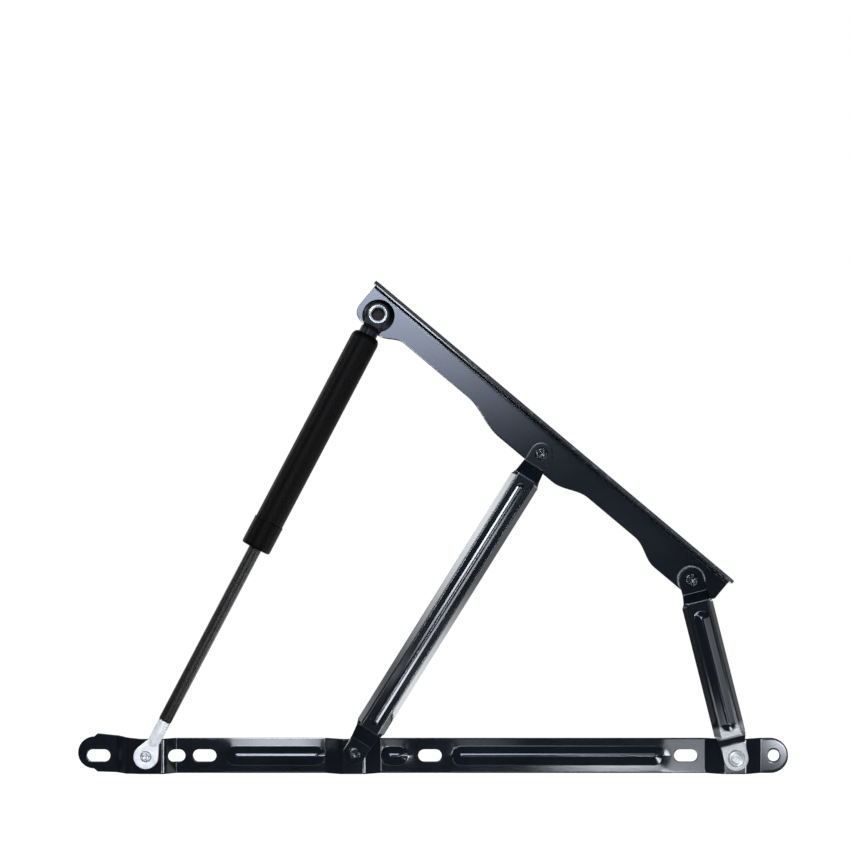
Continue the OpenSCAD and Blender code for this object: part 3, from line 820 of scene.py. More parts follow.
@dataclass
class WallRail:
    """The pressed strip that is screwed to the bed's side board.

    Attributes:
        finishes: the finishes to choose from.
        height: of the plain strip.
        sheet: its thickness.
        rise: height of the bridges.
        crease: radius of the bends at their feet.
        bend: radius of the bends at their tops.
        left: middle of the left end's arc.
        left_r: its radius.
        left_up: how far it lies above the rail's middle.
        flare_x: where the higher left part begins.
        flare_l: its length.
        flare_h: its height.
        right: middle of the right end's arc.
        stops: where the columns of the grid change their spacing, between the two ends.
        steps: the spacing between those stops.
        bridges: middle, flat length and slope length of each.
        ribs: the stiffening beads.
        slots: the slots between the ends.
        margin: plain sheet round a slot that is meshed with it.
        pull: how far a bead pulls the sheet beside it forward.
        first_slot: the slot in the left end.
        end_hole: the hole in the right end.
    """

    finishes: Finishes
    height: float = 27.0
    sheet: float = 2.5
    rise: float = 10.0
    crease: float = 1.7
    bend: float = 4.2
    left: float = -229.3
    left_r: float = 12.3
    left_up: float = 2.3
    flare_x: float = -226.6
    flare_l: float = 34.0
    flare_h: float = 29.4
    right: float = 291.0
    stops: tuple[float, ...] = (
        -213.3, -163.0, -130.0, -117.0, -62.0, 14.0, 44.0, 56.0, 198.0, 210.0, 239.0, 284.6)
    steps: tuple[float, ...] = (0.6, 1.2, 0.6, 1.8, 0.6, 1.2, 0.6, 1.8, 0.6, 1.2, 0.6)
    bridges: tuple[tuple[float, float, float], ...] = (
        (-189.0, 27.6, 8.5), (-30.0, 17.6, 12.0), (262.0, 17.6, 12.0))
    ribs: tuple[Rib, ...] = tuple(
        Rib(start, stop, 14.0, 2.4, 5.0, 2.6)
        for start, stop in ((-126.75, -51.8), (-8.2, 11.55), (46.55, 208.3)))
    slots: tuple[Hole, ...] = (
        Hole(-165.8, 0.0, 6.7, 4.7), *(Hole(x, 0.0, 9.0, 4.7) for x in (-144.25, 29.05, 225.8)))
    margin: float = 2.6
    pull: float = 0.45
    first_slot: Hole = Hole(-225.8, 0.0, 9.0, 4.7)
    end_hole: Hole = Hole(293.4, 0.0, 4.5, 4.5)

    def middle_depth(self, x: np.ndarray, y: np.ndarray) -> np.ndarray:
        """Depth of the sheet's middle: a polyline with rounded bends over the bridges, plus the beads.

        Pressing a bead pulls the sheet beside it forward, in a straight slope from the rail's edges.

        Args:
            x: places along the rail.
            y: places across it.

        Returns:
            The depths.
        """
        low, high = self.sheet / 2, self.rise + self.sheet / 2
        past = 60.0
        corners = [(self.left - past, low)]
        for centre, flat, slope in self.bridges:
            corners += [(centre - flat / 2 - slope, low), (centre - flat / 2, high),
                        (centre + flat / 2, high), (centre + flat / 2 + slope, low)]
        corners.append((self.right + past, low))
        bends = [self.crease, self.bend, self.bend, self.crease]
        line = rounded_profile(corners, bends * len(self.bridges))
        depth = np.interp(x, line[:, 0], line[:, 1])
        before, inside = 8, 4
        for rib in self.ribs:
            near = smooth_step(x, rib.start - before, rib.start + inside)
            near = near * smooth_step(-x, -rib.stop - before, -rib.stop + inside)
            depth = depth + rib.height(x, y) + self.pull * near * (1 - np.abs(y) / (self.height / 2))
        return depth

    def outline(self, x: np.ndarray, side: int) -> np.ndarray:
        """Upper or lower edge of the strip: the flare runs down in a straight line to the plain strip.

        Args:
            x: places along the rail.
            side: 1 for the upper edge, -1 for the lower one.

        Returns:
            How high the edge lies.
        """
        plain = side * self.height / 2
        return np.interp(x, [self.flare_x, self.flare_x + self.flare_l, self.right],
                         [self.left_up + side * self.flare_h / 2, plain, plain])

    def left_outline(self) -> np.ndarray:
        """Outline of the left end, from above the first column round to below it.

        Returns:
            The flare's upper edge, a shoulder, the end's arc, and the same mirrored below.
        """
        step_in, drop, turn_r = 0.8, 0.08, 0.6
        x = np.linspace(self.stops[0] - 0.9, self.flare_x + step_in, 14)
        top, bottom = (np.column_stack([x, self.outline(x, side)]) for side in (1, -1))
        y = self.left_up + self.flare_h / 2
        corners = [(self.flare_x + step_in, y - drop), (self.flare_x, y),
                   (self.left, self.left_up + self.left_r)]
        shoulder = rounded_profile(corners, turn_r, 4)[1:-1]
        mirrored = shoulder[::-1] * [1, -1] + [0, 2 * self.left_up]
        round_end = arc((self.left, self.left_up), self.left_r, 90, 270, 44)
        return np.concatenate([top, shoulder, round_end, mirrored, bottom[::-1]])

    def right_outline(self) -> np.ndarray:
        """Outline of the right end, from below the last column round to above it.

        Returns:
            A short flat, the end's arc and the flat mirrored.
        """
        half = self.height / 2
        flat = np.array([[self.stops[-1] + ahead, -half] for ahead in (1.0, 3.6)])
        return np.concatenate([flat, arc((self.right, 0.0), half, -90, 90, 48), (flat * [1, -1])[::-1]])

    def build(self) -> None:
        """Makes the rail: columns as close as its features need, rows as close as its beads need."""
        spans = [np.linspace(a, b, int((b - a) / step) + 1)[1:]
                 for a, b, step in zip(self.stops, self.stops[1:], self.steps)]
        x = np.concatenate([self.stops[:1], *spans])
        beside_bead = 8.6
        plain = np.linspace(beside_bead, self.height / 2, 5)
        rows = np.concatenate([self.ribs[0].rows(), plain]) / self.height
        f = 0.5 + np.concatenate([-rows[::-1], rows[1:]])
        low, high = self.outline(x, -1), self.outline(x, 1)
        sheet = PunchedSheet(x, low[:, None] + (high - low)[:, None] * f)
        for hole in self.slots:
            sheet.punch(hole, self.margin)
        sheet.cap(self.left_outline(), self.first_slot, left=True)
        sheet.cap(self.right_outline(), self.end_hole, left=False)
        p = sheet.layout()
        points = Bench().place(np.column_stack([p, self.middle_depth(p[:, 0], p[:, 1])]))
        piece = press("wall_rail", sheet, points, np.zeros(len(p)), self.sheet, 0.3)
        hand_over(piece, self.finishes.coated, Body.RAIL, ("base_rail",))


@dataclass
class PressedLink:
    """A channel pressed from sheet, with a flat ear at each end and a rib along its front.

    Attributes:
        finishes: the finishes to choose from.
        name: the piece's name.
        stands_for: the model's solid that it replaces.
        body: what it rides on.
        bench: its first pivot and direction.
        length: pivot to pivot.
        width: over the side walls' feet.
        side: how far a side wall leans out.
        ear: radius of the ears.
        shoulder: from a pivot to the start of the channel.
        rib: the rib along its front.
        painted_highlight_end: whether the far end gets a painted highlight of bright metal.
        sheet: thickness.
        back: depth of the ears' backs and of the side walls' feet.
        rise: from there to the channel's front.
        flat: from a pivot to the end of its ear's flat.
        flare: how much wider than its ear a neck is.
        cap_at: from a pivot to the first column of the grid.
        hole_r: radius of the pivots' holes.
    """

    finishes: Finishes
    name: str
    stands_for: str
    body: Body
    bench: Bench
    length: float
    width: float
    side: float
    ear: float
    shoulder: float
    rib: Rib
    painted_highlight_end: bool = False
    sheet: float = 2.0
    back: float = 13.6
    rise: float = 7.7
    flat: float = 10.8
    flare: float = 1.3
    cap_at: float = 8.8
    hole_r: float = 4.06

    def cross_profile(self) -> np.ndarray:
        """Half the channel's cross-section on the middle of the sheet.

        Returns:
            Rows of place across and depth, from the channel's middle out to its foot.
        """
        lean = math.hypot(self.rise, self.side)
        top = self.back + self.rise - self.sheet / 2
        inset = self.sheet / 2 * lean / self.rise
        foot = self.width / 2 - inset
        corner = foot - self.side * (top - self.back) / self.rise
        return rounded_profile([(0.0, top), (corner, top), (foot, self.back)], 0.8, 8)

    def half_width(self, s: np.ndarray, foot: float) -> np.ndarray:
        """Half the width of the middle surface: ear, widening neck, then the channel's feet.

        Args:
            s: places along the link.
            foot: half the width over the channel's feet.

        Returns:
            The half widths.
        """
        neck = self.ear + self.flare
        line = rounded_profile(
            [(0.0, self.ear), (self.flat, self.ear), (self.shoulder - 0.8, neck), (self.shoulder + 1.4, foot),
             (self.length / 2, foot)], 1.0, 6)
        return np.interp(np.minimum(s, self.length - s), line[:, 0], line[:, 1])

    def middle_depth(self, s: np.ndarray, t: np.ndarray, cross: np.ndarray) -> np.ndarray:
        """Depth of the sheet's middle.

        Along the link it is the ear's level, a joggle and the front's level. Past the shoulder it turns
        into the cross-section within 3 mm. The rib is added on top.

        Args:
            s: places along the link.
            t: places across it.
            cross: half the cross-section.

        Returns:
            The depths.
        """
        low, high = self.back + self.sheet / 2, self.back + self.rise - self.sheet / 2
        d = np.minimum(s, self.length - s)
        line = rounded_profile(
            [(-30.0, low), (self.flat, low), (self.shoulder, high), (self.length, high)], 2.0, 8)
        joggle = np.interp(d, line[:, 0], line[:, 1])
        wall = np.interp(np.abs(t), cross[:, 0], cross[:, 1])
        share = smooth_step(d, self.shoulder - 0.4, self.shoulder + 2.6)
        return joggle * (1 - share) + wall * share + self.rib.height(s, t) * share

    def painted_highlight(self, p: np.ndarray) -> np.ndarray:
        """How far the far end takes a painted highlight of bright metal.

        It rises along the last 28 mm of the front, where a bright reflection is painted. The rib, the joggle
        and a ring round the rivet's head stay black; the ring is a painted shadow of the head's edge.

        Args:
            p: points of the flat layout.

        Returns:
            0 for black to 1 for bright.
        """
        far = self.length
        joggle = smooth_step(p[:, 0], far - 17.9, far - 17.3) * smooth_step(-p[:, 0], 11.2 - far, 11.8 - far)
        # A black ring round the rivet's head, 6.25 to 6.6 mm out: painted shadow of the head's edge.
        ring = smooth_step(np.hypot(p[:, 0] - far, p[:, 1]), 6.25, 6.6)
        rib = smooth_step(self.rib.height(p[:, 0], p[:, 1]), 0.02, 0.3)
        return smooth_step(p[:, 0], far - 28.0, far - 21.5) * (1 - joggle) * (1 - rib) * ring

    def rows(self, cross: np.ndarray) -> np.ndarray:
        """Rows of the grid, from one foot to the other.

        Args:
            cross: half the cross-section.

        Returns:
            Places across the link, as shares of its half width: dense on the rib and on the bends.
        """
        foot = float(cross[-1, 0])
        bend = cross[1:-1, 0]
        rib = self.rib.rows()
        rib = rib[rib < bend[0] - 0.5]
        front = np.linspace(rib[-1], bend[0] - 0.25, 4)[1:]
        fine = np.concatenate([rib, front, bend, np.linspace(bend[-1] + 0.2, foot, 5)]) / foot
        return np.concatenate([-fine[::-1], fine[1:]])

    def ear_outline(self, x: float, side: int) -> np.ndarray:
        """Outline of an ear: a straight edge, an arc round its pivot and the straight edge mirrored.

        Args:
            x: its pivot.
            side: 1 for the ear at the start, -1 for the one at the end.

        Returns:
            Points from one corner of the ear's column round to the other.
        """
        edge = np.array([[x + side * ahead, side * self.ear] for ahead in (7.4, 5.6, 3.8, 1.9)])
        start = 90 * side
        out = arc((x, 0.0), self.ear, start, start + 180, 40)
        return np.concatenate([edge, out, edge[::-1] * [1, -1]])

    def build(self) -> None:
        """Makes the link: columns close together at its ears and joggles, wider along the channel."""
        cross = self.cross_profile()
        far, fine, coarse = self.length, 0.55, 1.2
        near = np.arange(self.cap_at, self.shoulder + 9.0, fine)
        along = np.linspace(near[-1] + coarse, far - near[-1] - coarse, int(far / 1.6))
        s = np.concatenate([near, along, (far - near)[::-1]])
        sheet = PunchedSheet(s, self.half_width(s, float(cross[-1, 0]))[:, None] * self.rows(cross))
        for x, side in ((0.0, 1), (far, -1)):
            sheet.cap(self.ear_outline(x, side), Hole(x, 0.0, self.hole_r, self.hole_r), side > 0)
        p = sheet.layout()
        local = np.column_stack([p, self.middle_depth(p[:, 0], p[:, 1], cross)])
        # The rear link's far end gets a painted highlight of bright metal; other links get none.
        highlight_patch = self.painted_highlight(p) if self.painted_highlight_end else np.zeros(len(p))
        piece = press(self.name, sheet, self.bench.place(local), highlight_patch, self.sheet, 0.25)
        hand_over(piece, self.finishes.coated, self.body, (self.stands_for,))


@dataclass
class TopArm:
    """The steel angle that carries the slatted base: a web with three ears, and a flange with four holes.

    Attributes:
        finishes: the finishes to choose from.
        sheet: its thickness.
        bend_in: inner radius of its bend.
        web_back: depth of the web's back.
        flange_front: depth of the flange's front edge.
        web_h: height of the plain web.
        ear_margin: from a pivot to the edge of its ear.
        ear_lead: how far before its pivot the middle ear is full.
        ear_trail: how far past its pivot it stays so.
        ear_sweep: length of the waves between the ears and the plain web.
        corner: radius of the first ear's corner.
        last_corner: radius of the last ear's corner.
        end_r: radius of the flange's corners.
        flange_holes: places of the flange's holes along the arm.
        hole_r: their radius.
        hole_depth: their depth.
        stud_r: radius of the hole for the gas spring's stud.
    """

    finishes: Finishes
    sheet: float = 2.5
    bend_in: float = 1.0
    web_back: float = 10.0
    flange_front: float = 46.0
    web_h: float = 21.4
    ear_margin: float = 10.9
    ear_lead: float = 33.0
    ear_trail: float = 20.0
    ear_sweep: float = 39.0
    corner: float = 9.0
    last_corner: float = 14.0
    end_r: float = 6.0
    flange_holes: tuple[float, ...] = (68.0, 128.0, 232.0, 292.0)
    hole_r: float = 3.3
    hole_depth: float = 31.6
    stud_r: float = 6.02

    @property
    def length(self) -> float:
        """Length of the arm."""
        return LAY.b_along + LAY.arm_pivots + LAY.arm_tail

    @property
    def bend_r(self) -> float:
        """Radius of the bend on the middle of the sheet."""
        return self.sheet / 2 + self.bend_in

    def web_edge(self, u: np.ndarray) -> np.ndarray:
        """Lower edge of the web: ears joined by half cosine waves, with arcs at the corners.

        Args:
            u: places along the arm.

        Returns:
            How far the edge lies below the flange's outer face.
        """
        b, c, e, far = LAY.b_along, LAY.b_along + LAY.arm_pivots, LAY.e_along, self.length
        ear_e = LAY.e_below + self.ear_margin + 0.9
        ear = LAY.bc_below + self.ear_margin
        r, q, h, sweep = self.corner, self.last_corner, self.web_h, self.ear_sweep
        v = np.where(u < r, ear_e - r + np.sqrt(np.maximum(r * r - (r - u) ** 2, 0.0)), ear_e)
        v = np.where(u > e + r, ease(u, (e + r, ear_e), (e + r + sweep / 2, h)), v)
        lead = b - self.ear_lead
        v = np.where(u > lead - sweep, ease(u, (lead - sweep, h), (lead, ear)), v)
        trail = b + self.ear_trail
        v = np.where(u > trail, ease(u, (trail, ear), (trail + sweep * 0.75, h)), v)
        lead, short = c - self.ear_lead * 5 / 6, sweep * 2 / 3
        v = np.where(u > lead - short, ease(u, (lead - short, h), (lead, ear)), v)
        v = np.where(u > c, ear - q + np.sqrt(np.maximum(q * q - (u - c) ** 2, 0.0)), v)
        end = q / 3
        tip = LAY.bc_below - end / 2
        last = tip + np.sqrt(np.maximum(end * end - np.maximum(u - (far - end), 0.0) ** 2, 0.0))
        c60, s60 = math.cos(math.radians(60)), math.sin(math.radians(60))
        start = c + q * c60
        joined = np.interp(u, [start, far - end + end * c60], [ear - q + q * s60, tip + end * s60])
        v = np.where(u > start, joined, v)
        return np.where(u > far - end / 2, last, v)

    def fold(self, u: np.ndarray, q: np.ndarray) -> np.ndarray:
        """Folds the flat layout into an angle.

        With R the bend's middle radius, q below 0 lies on the flange, 0 to R * pi / 2 on the quarter bend
        and the rest on the web.

        Args:
            u: places along the arm.
            q: places across the layout.

        Returns:
            Bench points.
        """
        half, r = self.sheet / 2, self.bend_r
        bend_l = r * np.pi / 2
        phi = np.clip(q, 0.0, bend_l) / r
        below = half + r - r * np.cos(phi) + np.maximum(q - bend_l, 0.0)
        depth = self.web_back + half + r - r * np.sin(phi) + np.maximum(-q, 0.0)
        return np.column_stack([u, -below, depth])

    def build(self) -> None:
        """Makes the arm: columns close together at both ends, rows over flange, bend and web."""
        far, half, r = self.length, self.sheet / 2, self.bend_r
        bend_l = r * math.pi / 2
        end_l, pitch = 9.0, 1.15
        t = end_l * np.linspace(0.0, 1.0, 14) ** 1.8
        u = np.concatenate([t, np.arange(end_l + 0.9, far - end_l - 0.5, pitch), far - t[::-1]])
        inside = np.maximum(self.end_r - np.minimum(u, far - u), 0.0)
        cut = self.end_r - np.sqrt(np.maximum(self.end_r**2 - inside**2, 0.0))
        reach = self.flange_front - (self.web_back + half + r)
        flange = -(reach - cut)[:, None] * np.linspace(1.0, 0.0, 30)[None, :-1]
        bend = np.tile(np.linspace(0.0, bend_l, 7), (len(u), 1))
        web_l = self.web_edge(u) - (half + r)
        web = bend_l + web_l[:, None] * np.linspace(0.0, 1.0, 25)[None, 1:]
        sheet = PunchedSheet(u, np.concatenate([flange, bend, web], axis=1))
        across = -(self.hole_depth - self.web_back - half - r)
        for at in self.flange_holes:
            sheet.punch(Hole(at, across, self.hole_r, self.hole_r), 3.2)
        sheet.punch(Hole(LAY.e_along, bend_l + LAY.e_below - half - r, self.stud_r, self.stud_r), 2.6)
        p = sheet.layout()
        points = LAY.arm_bench().place(self.fold(p[:, 0], p[:, 1]))
        piece = press("top_arm_angle", sheet, points, np.zeros(len(p)), self.sheet, 0.3)
        hand_over(piece, self.finishes.coated, Body.TOP_ARM, ("top_arm",))


@dataclass
class Rivet:
    """A rivet or stud: shank, rear head and peened front head.

    Attributes:
        finish: its material.
        name: the piece's name.
        stands_for: the solid that it replaces.
        body: what it rides on.
        at: its place in the front view.
        back: depth of its rear end.
        seat: depth at which the rear head ends.
        front: depth of the front head's underside.
        rear_r: radius of the rear head, or the shank's where there is none.
        head_r: radius of the front head, or the shank's where there is none.
        rise: height of the front head.
        marks: how many peening marks lie round the head.
        groove: depth of the ring that the peening tool leaves two thirds of the way out.
        shank: radius of the shank.
        slot: name of its material slot; not used.
    """

    finish: bpy.types.Material
    name: str
    stands_for: str
    body: Body
    at: tuple[float, float]
    back: float
    seat: float
    front: float
    rear_r: float
    head_r: float
    rise: float
    marks: int = 0
    groove: float = 0.0
    shank: float = 4.0
    slot: str = "dark_rivet"

    def profile(self) -> np.ndarray:
        """Profile from the rear head's middle round to the front head's crown.

        The crown falls as the square root of 1 - k^4, with k the share of its radius. A bell curve dishes its
        middle and another one is the tool's ring.

        Returns:
            Rows of place and radius.
        """
        rear = np.array([[self.back, self.shank]])
        if self.rear_r > self.shank:
            rear = arc((self.back + 0.5, self.rear_r - 0.5), 0.5, 180, 90, 5)
        k = np.linspace(1.0, 0.0, 36)
        crown = np.column_stack([self.front + self.rise * (0.35 + 0.65 * (1 - k**4) ** 0.5), k * self.head_r])
        dish = 0.3 * self.rise * np.exp(-((k / 0.38) ** 2))
        crown[:, 0] -= dish + self.groove * np.exp(-(((k - 0.68) / 0.07) ** 2))
        neck = [[self.seat, self.rear_r], [self.seat, self.shank], [self.front, self.shank],
                [self.front, self.head_r]]
        return np.concatenate([[[self.back, 0.0], [self.back, self.rear_r * 0.5]], rear, neck, crown])

    def build(self) -> None:
        """Makes the rivet, with shallow notches of the peening tool: a power of a cosine round the head."""
        points, faces = turned(self.profile(), Turn.OUT, 72)
        if self.marks:
            radius = np.hypot(points[:, 0], points[:, 1]) / self.head_r
            angle = np.arctan2(points[:, 1], points[:, 0])
            on_head = points[:, 2] > self.front + 0.3 * self.rise
            notch = np.abs(np.cos(angle * self.marks / 2)) ** 10 * np.exp(-(((radius - 0.6) / 0.2) ** 2))
            points[:, 2] -= np.where(on_head, 0.42 * self.rise * notch, 0.0)
        piece = make_piece(self.name, Bench(*self.at).place(points), faces)
        break_edges(piece, 0.15, 2, 50.0)
        hand_over(piece, self.finish, self.body, (self.stands_for,))


@dataclass
class TurnedPiece:
    """Any other turned piece: a washer, ring, tube, cap or rod, from its profile.

    Attributes:
        finish: its material.
        name: the piece's name.
        stands_for: the solid that it replaces.
        body: what it rides on.
        bench: its origin and direction.
        turn: which way its axis runs.
        profile: place and radius, point by point.
        slot: name of its material slot; not used.
        closed: whether the profile is a closed line, as a ring's is.
        edge: how far its sharp edges are rounded.
    """

    finish: bpy.types.Material
    name: str
    stands_for: tuple[str, ...]
    body: Body
    bench: Bench
    turn: Turn
    profile: np.ndarray
    slot: str
    closed: bool = True
    edge: float = 0.2

    def build(self) -> None:
        """Makes the piece."""
        line = np.asarray(self.profile, dtype=float)
        if self.closed:
            line = np.concatenate([line, line[:1]])
        points, faces = turned(line, self.turn)
        piece = make_piece(self.name, self.bench.place(points), faces)
        break_edges(piece, self.edge, 2, 30.0)
        hand_over(piece, self.finish, self.body, self.stands_for)


@dataclass
class GasSpring:
    """Gas spring with its two eyes, its upper stud and its spacer.

    Places along it are distances from the upper pivot.

    Attributes:
        finishes: the finishes to choose from.
        tube_r: outer radius of the tube.
        bore: inner radius of the tube.
        tube_start: where the tube's upper shoulder begins.
        shoulder_l: length of that shoulder.
        tube_end: the tube's lower end.
        pack_l: from there back to the piston: retainer, seal, guide and spare travel.
        spigot_l: length of the rod's thin end in the piston and its nut.
        spigot_r: radius of the rod's thin ends.
        rod_r: radius of the rod.
        rod_stop: from the rod's shoulder to the lower pivot.
        screw_l: how far the rod goes into the lower eye.
        cap_l: length of the cap.
        eye_t: thickness of both eyes.
        eye_hole: radius of the upper eye's hole.
        upper_eye_r: outer radius of the upper eye.
        neck_r: radius of its neck.
        lower_eye_r: outer radius of the lower eye.
        lower_neck_r: radius of its neck.
        blade: from its pivot to the end of its flat part.
        spacer_r: largest radius of the spacer.
        rim_r: outer radius of the stud's rolled rim.
        stud_r: radius of the stud.
        bore_r: radius of the stud's bore.
        bench: the spring's frame, from the upper to the lower pivot.
    """

    finishes: Finishes
    tube_r: float = 11.0
    bore: float = 9.75
    tube_start: float = 17.5
    shoulder_l: float = 5.5
    tube_end: float = 199.5
    pack_l: float = 23.5
    spigot_l: float = 15.0
    spigot_r: float = 3.0
    rod_r: float = 5.0
    rod_stop: float = 30.8
    screw_l: float = 8.0
    cap_l: float = 21.5
    eye_t: float = 6.0
    eye_hole: float = 6.06
    upper_eye_r: float = 9.6
    neck_r: float = 7.2
    lower_eye_r: float = 9.3
    lower_neck_r: float = 4.8
    blade: float = 14.0
    spacer_r: float = 12.4
    rim_r: float = 7.2
    stud_r: float = 6.0
    bore_r: float = 5.1
    bench: Bench = field(default_factory=lambda: LAY.between(LAY.e, LAY.f, LAY.gas_depth))

    def tube(self) -> None:
        """The painted cylinder: a shoulder that is a quarter ellipse, a plain tube and its open lower end."""
        a = np.radians(np.linspace(0, 90, 14))
        hole = self.neck_r + 0.02
        shoulder = np.column_stack([self.tube_start + self.shoulder_l * (1 - np.cos(a)),
                                    hole + (self.tube_r - hole) * np.sin(a)])
        body = [[60.0, self.tube_r], [120.0, self.tube_r], [self.tube_end, self.tube_r],
                [self.tube_end, self.bore], [self.tube_start + 6.0, self.bore], [self.tube_start + 2.0, hole]]
        TurnedPiece(self.finishes.tube_paint, "cylinder_tube", ("gas_tube",), Body.GAS_CYLINDER, self.bench,
                    Turn.ALONG, np.concatenate([shoulder, body]), "tube_paint").build()

    def cap(self) -> None:
        """The moulded cap on the lower end: a rolled lip, a sleeve, a shallow groove and a rounded end."""
        s, e, r = self.tube_end - self.cap_l, self.tube_end, self.tube_r + 0.62
        inner, clear = self.tube_r + 0.02, self.rod_r + 0.06
        line = [[s, inner], [s + 0.1, r - 0.1], [s + 0.7, r + 0.08], [s + 1.6, r], [s + 2.4, r - 0.05],
                [e - 3.0, r - 0.02], [e - 1.2, r], [e + 0.5, r - 0.2], [e + 1.2, r - 1.2], [e + 1.3, r - 3.0],
                [e + 1.3, self.rod_r + 1.0], [e + 0.8, clear], [e, clear], [e, inner]]
        TurnedPiece(self.finishes.nylon, "rod_end_cap", ("tube_end_cap",), Body.GAS_CYLINDER, self.bench,
                    Turn.ALONG, np.array(line), "cap_plastic").build()

    def rod(self) -> None:
        """The ground rod, with its thin ends hidden in the piston and the lower eye."""
        stop, thin, r = LAY.gas_length - self.rod_stop, self.spigot_r, self.rod_r
        piston = self.tube_end - self.pack_l
        start, tip = piston - self.spigot_l, stop + self.screw_l
        line = [[start, 0.0], [start, thin], [piston, thin], [piston, r], [piston + 30, r], [stop - 60, r],
                [stop - 0.6, r], [stop, r - 0.5], [stop, thin], [tip, thin], [tip, 0.0]]
        TurnedPiece(self.finishes.rod, "ground_rod", ("piston_rod",), Body.GAS_ROD, self.bench, Turn.ALONG,
                    np.array(line), "rod_steel", closed=False).build()

    def upper_eye(self) -> None:
        """The forged upper eye: a rounded flat ring on a round neck that runs into the tube."""
        a = np.linspace(0, 2 * np.pi, 120, endpoint=False)
        circle = np.column_stack([np.cos(a), np.sin(a)])
        outer = self.upper_eye_r * circle
        outer[(outer[:, 0] > 0) & (np.abs(outer[:, 1]) < self.neck_r - 0.3), 0] = 11.5
        points, faces = ring_plate(outer, self.eye_hole * circle, -self.eye_t / 2, self.eye_t / 2)
        shoulder, tight = self.tube_start + self.shoulder_l, self.bore - 0.02
        neck, around = turned(np.array([
            [9.6, 0.0], [9.6, 4.6], [11.4, self.neck_r - 0.9], [12.6, self.neck_r], [shoulder, self.neck_r],
            [shoulder + 0.1, tight], [shoulder + 6.0, tight], [shoulder + 6.0, 0.0]]), Turn.ALONG)
        piece = make_piece("upper_eye_forging", self.bench.place(np.concatenate([points, neck])),
                           np.concatenate([faces, around + len(points)]))
        break_edges(piece, 1.4, 5, 30.0)
        hand_over(piece, self.finishes.forged, Body.GAS_CYLINDER, ("upper_eye",))

    def lower_eye(self) -> None:
        """The cast lower eye: a flat drop whose sides run in straight lines to a round neck."""
        end, r = LAY.gas_length, self.lower_neck_r
        root = r * 0.8
        lean = math.degrees(math.asin((self.lower_eye_r - root) / self.blade))
        ring = arc((end, 0.0), self.lower_eye_r, 90 + lean, -90 - lean, 84)
        side = np.linspace(0.0, 1.0, 20)[1:-1, None]
        upper = np.array([end - self.blade, root]) * (1 - side) + ring[0] * side
        foot = np.column_stack([np.full(9, end - self.blade), np.linspace(-root, root, 9)])
        outer = np.concatenate([foot, upper, ring, (upper * [1, -1])[::-1]])
        inner = Hole(end, 0.0, 3.92, 3.92).onto(outer)
        points, faces = ring_plate(outer, inner, -self.eye_t / 2, self.eye_t / 2)
        start, thin = end - self.rod_stop, self.spigot_r + 0.02
        neck, around = turned(np.array([
            [start, thin], [start, r - 0.4], [start + 0.5, r], [end - 13.5, r], [end - 11.5, r - 0.6],
            [end - 8.5, 3.1], [end - 7.5, 1.9], [end - 7.3, 0.0]]), Turn.ALONG)
        socket, within = turned(
            np.array([[start, thin], [start + self.screw_l, thin], [start + self.screw_l, 0.0]]), Turn.ALONG)
        count = len(points)
        piece = make_piece("lower_eye_casting", self.bench.place(np.concatenate([points, neck, socket])),
                           np.concatenate([faces, around + count, within + count + len(neck)]))
        break_edges(piece, 0.8, 3, 30.0)
        hand_over(piece, self.finishes.zinc, Body.GAS_ROD, ("lower_eye",))

    def stud(self) -> None:
        """The hollow upper stud: a bright rim rolled over the eye, a blind bore and a rear head."""
        r, b, f = self.rim_r, self.bore_r, LAY.gas_depth + self.eye_t / 2
        roll = arc((0.0, (r + b) / 2), (r - b) / 2, 90, -90, 18)
        mark = 0.28
        roll[:, 0] = f + 0.4 + 0.95 * roll[:, 0] - mark * np.exp(-(((roll[:, 1] - 6.3) / mark) ** 2))
        line = [[8.4, 0.0], [8.4, r + 0.6], [9.0, r + 1.0], [10.0, r + 1.0], [10.0, self.stud_r],
                [f + 0.2, self.stud_r], [f + 0.2, r]]
        line = np.concatenate([line, roll, [[20.0, b], [10.0, b], [10.0, 0.0]]])
        TurnedPiece(self.finishes.bright, "rolled_upper_stud", ("upper_gas_stud",), Body.TOP_ARM,
                    Bench(*LAY.e), Turn.OUT, line, "bright_steel", closed=False, edge=0.12).build()

    def bore_shade_plug(self) -> None:
        """A black plug inside the stud's bore: painted shade that keeps the bore dark."""
        r = self.bore_r - 0.03
        line = np.array([[10.1, 0.0], [10.1, r], [18.0, r], [18.6, self.bore_r - 0.9], [18.6, 0.0]])
        points, faces = turned(line, Turn.OUT, 72)
        piece = make_piece("painted_shade_bore_plug", Bench(*LAY.e).place(points), faces)
        break_edges(piece, 0.15, 2, 40.0)
        hand_over(piece, self.finishes.rubber, Body.TOP_ARM, ())

    def spacer(self) -> None:
        """The flared spacer between the arm and the upper eye: a quarter wave from its foot to its top."""
        k = np.linspace(0.0, 1.0, 16)
        foot, foot_r, r, hole = 14.1, 8.7, self.spacer_r, 6.02
        top = LAY.gas_depth - self.eye_t / 2 - 0.2
        side = np.column_stack([foot + (top - foot) * k, foot_r + (r - foot_r) * (1 - np.sin(np.pi / 2 * k))])
        line = np.concatenate([
            [[12.5, hole], [12.5, r - 0.3], [12.8, r], [13.7, r], [14.0, r - 0.3]], side, [[top, hole]]])
        TurnedPiece(self.finishes.forged, "flared_spacer", ("upper_gas_spacer",), Body.TOP_ARM, Bench(*LAY.e),
                    Turn.OUT, line, "black_steel").build()

    def build(self) -> None:
        """Makes all pieces of the gas spring that show."""
        self.tube()
        self.cap()
        self.rod()
        self.upper_eye()
        self.lower_eye()
        self.stud()
        self.bore_shade_plug()
        self.spacer()


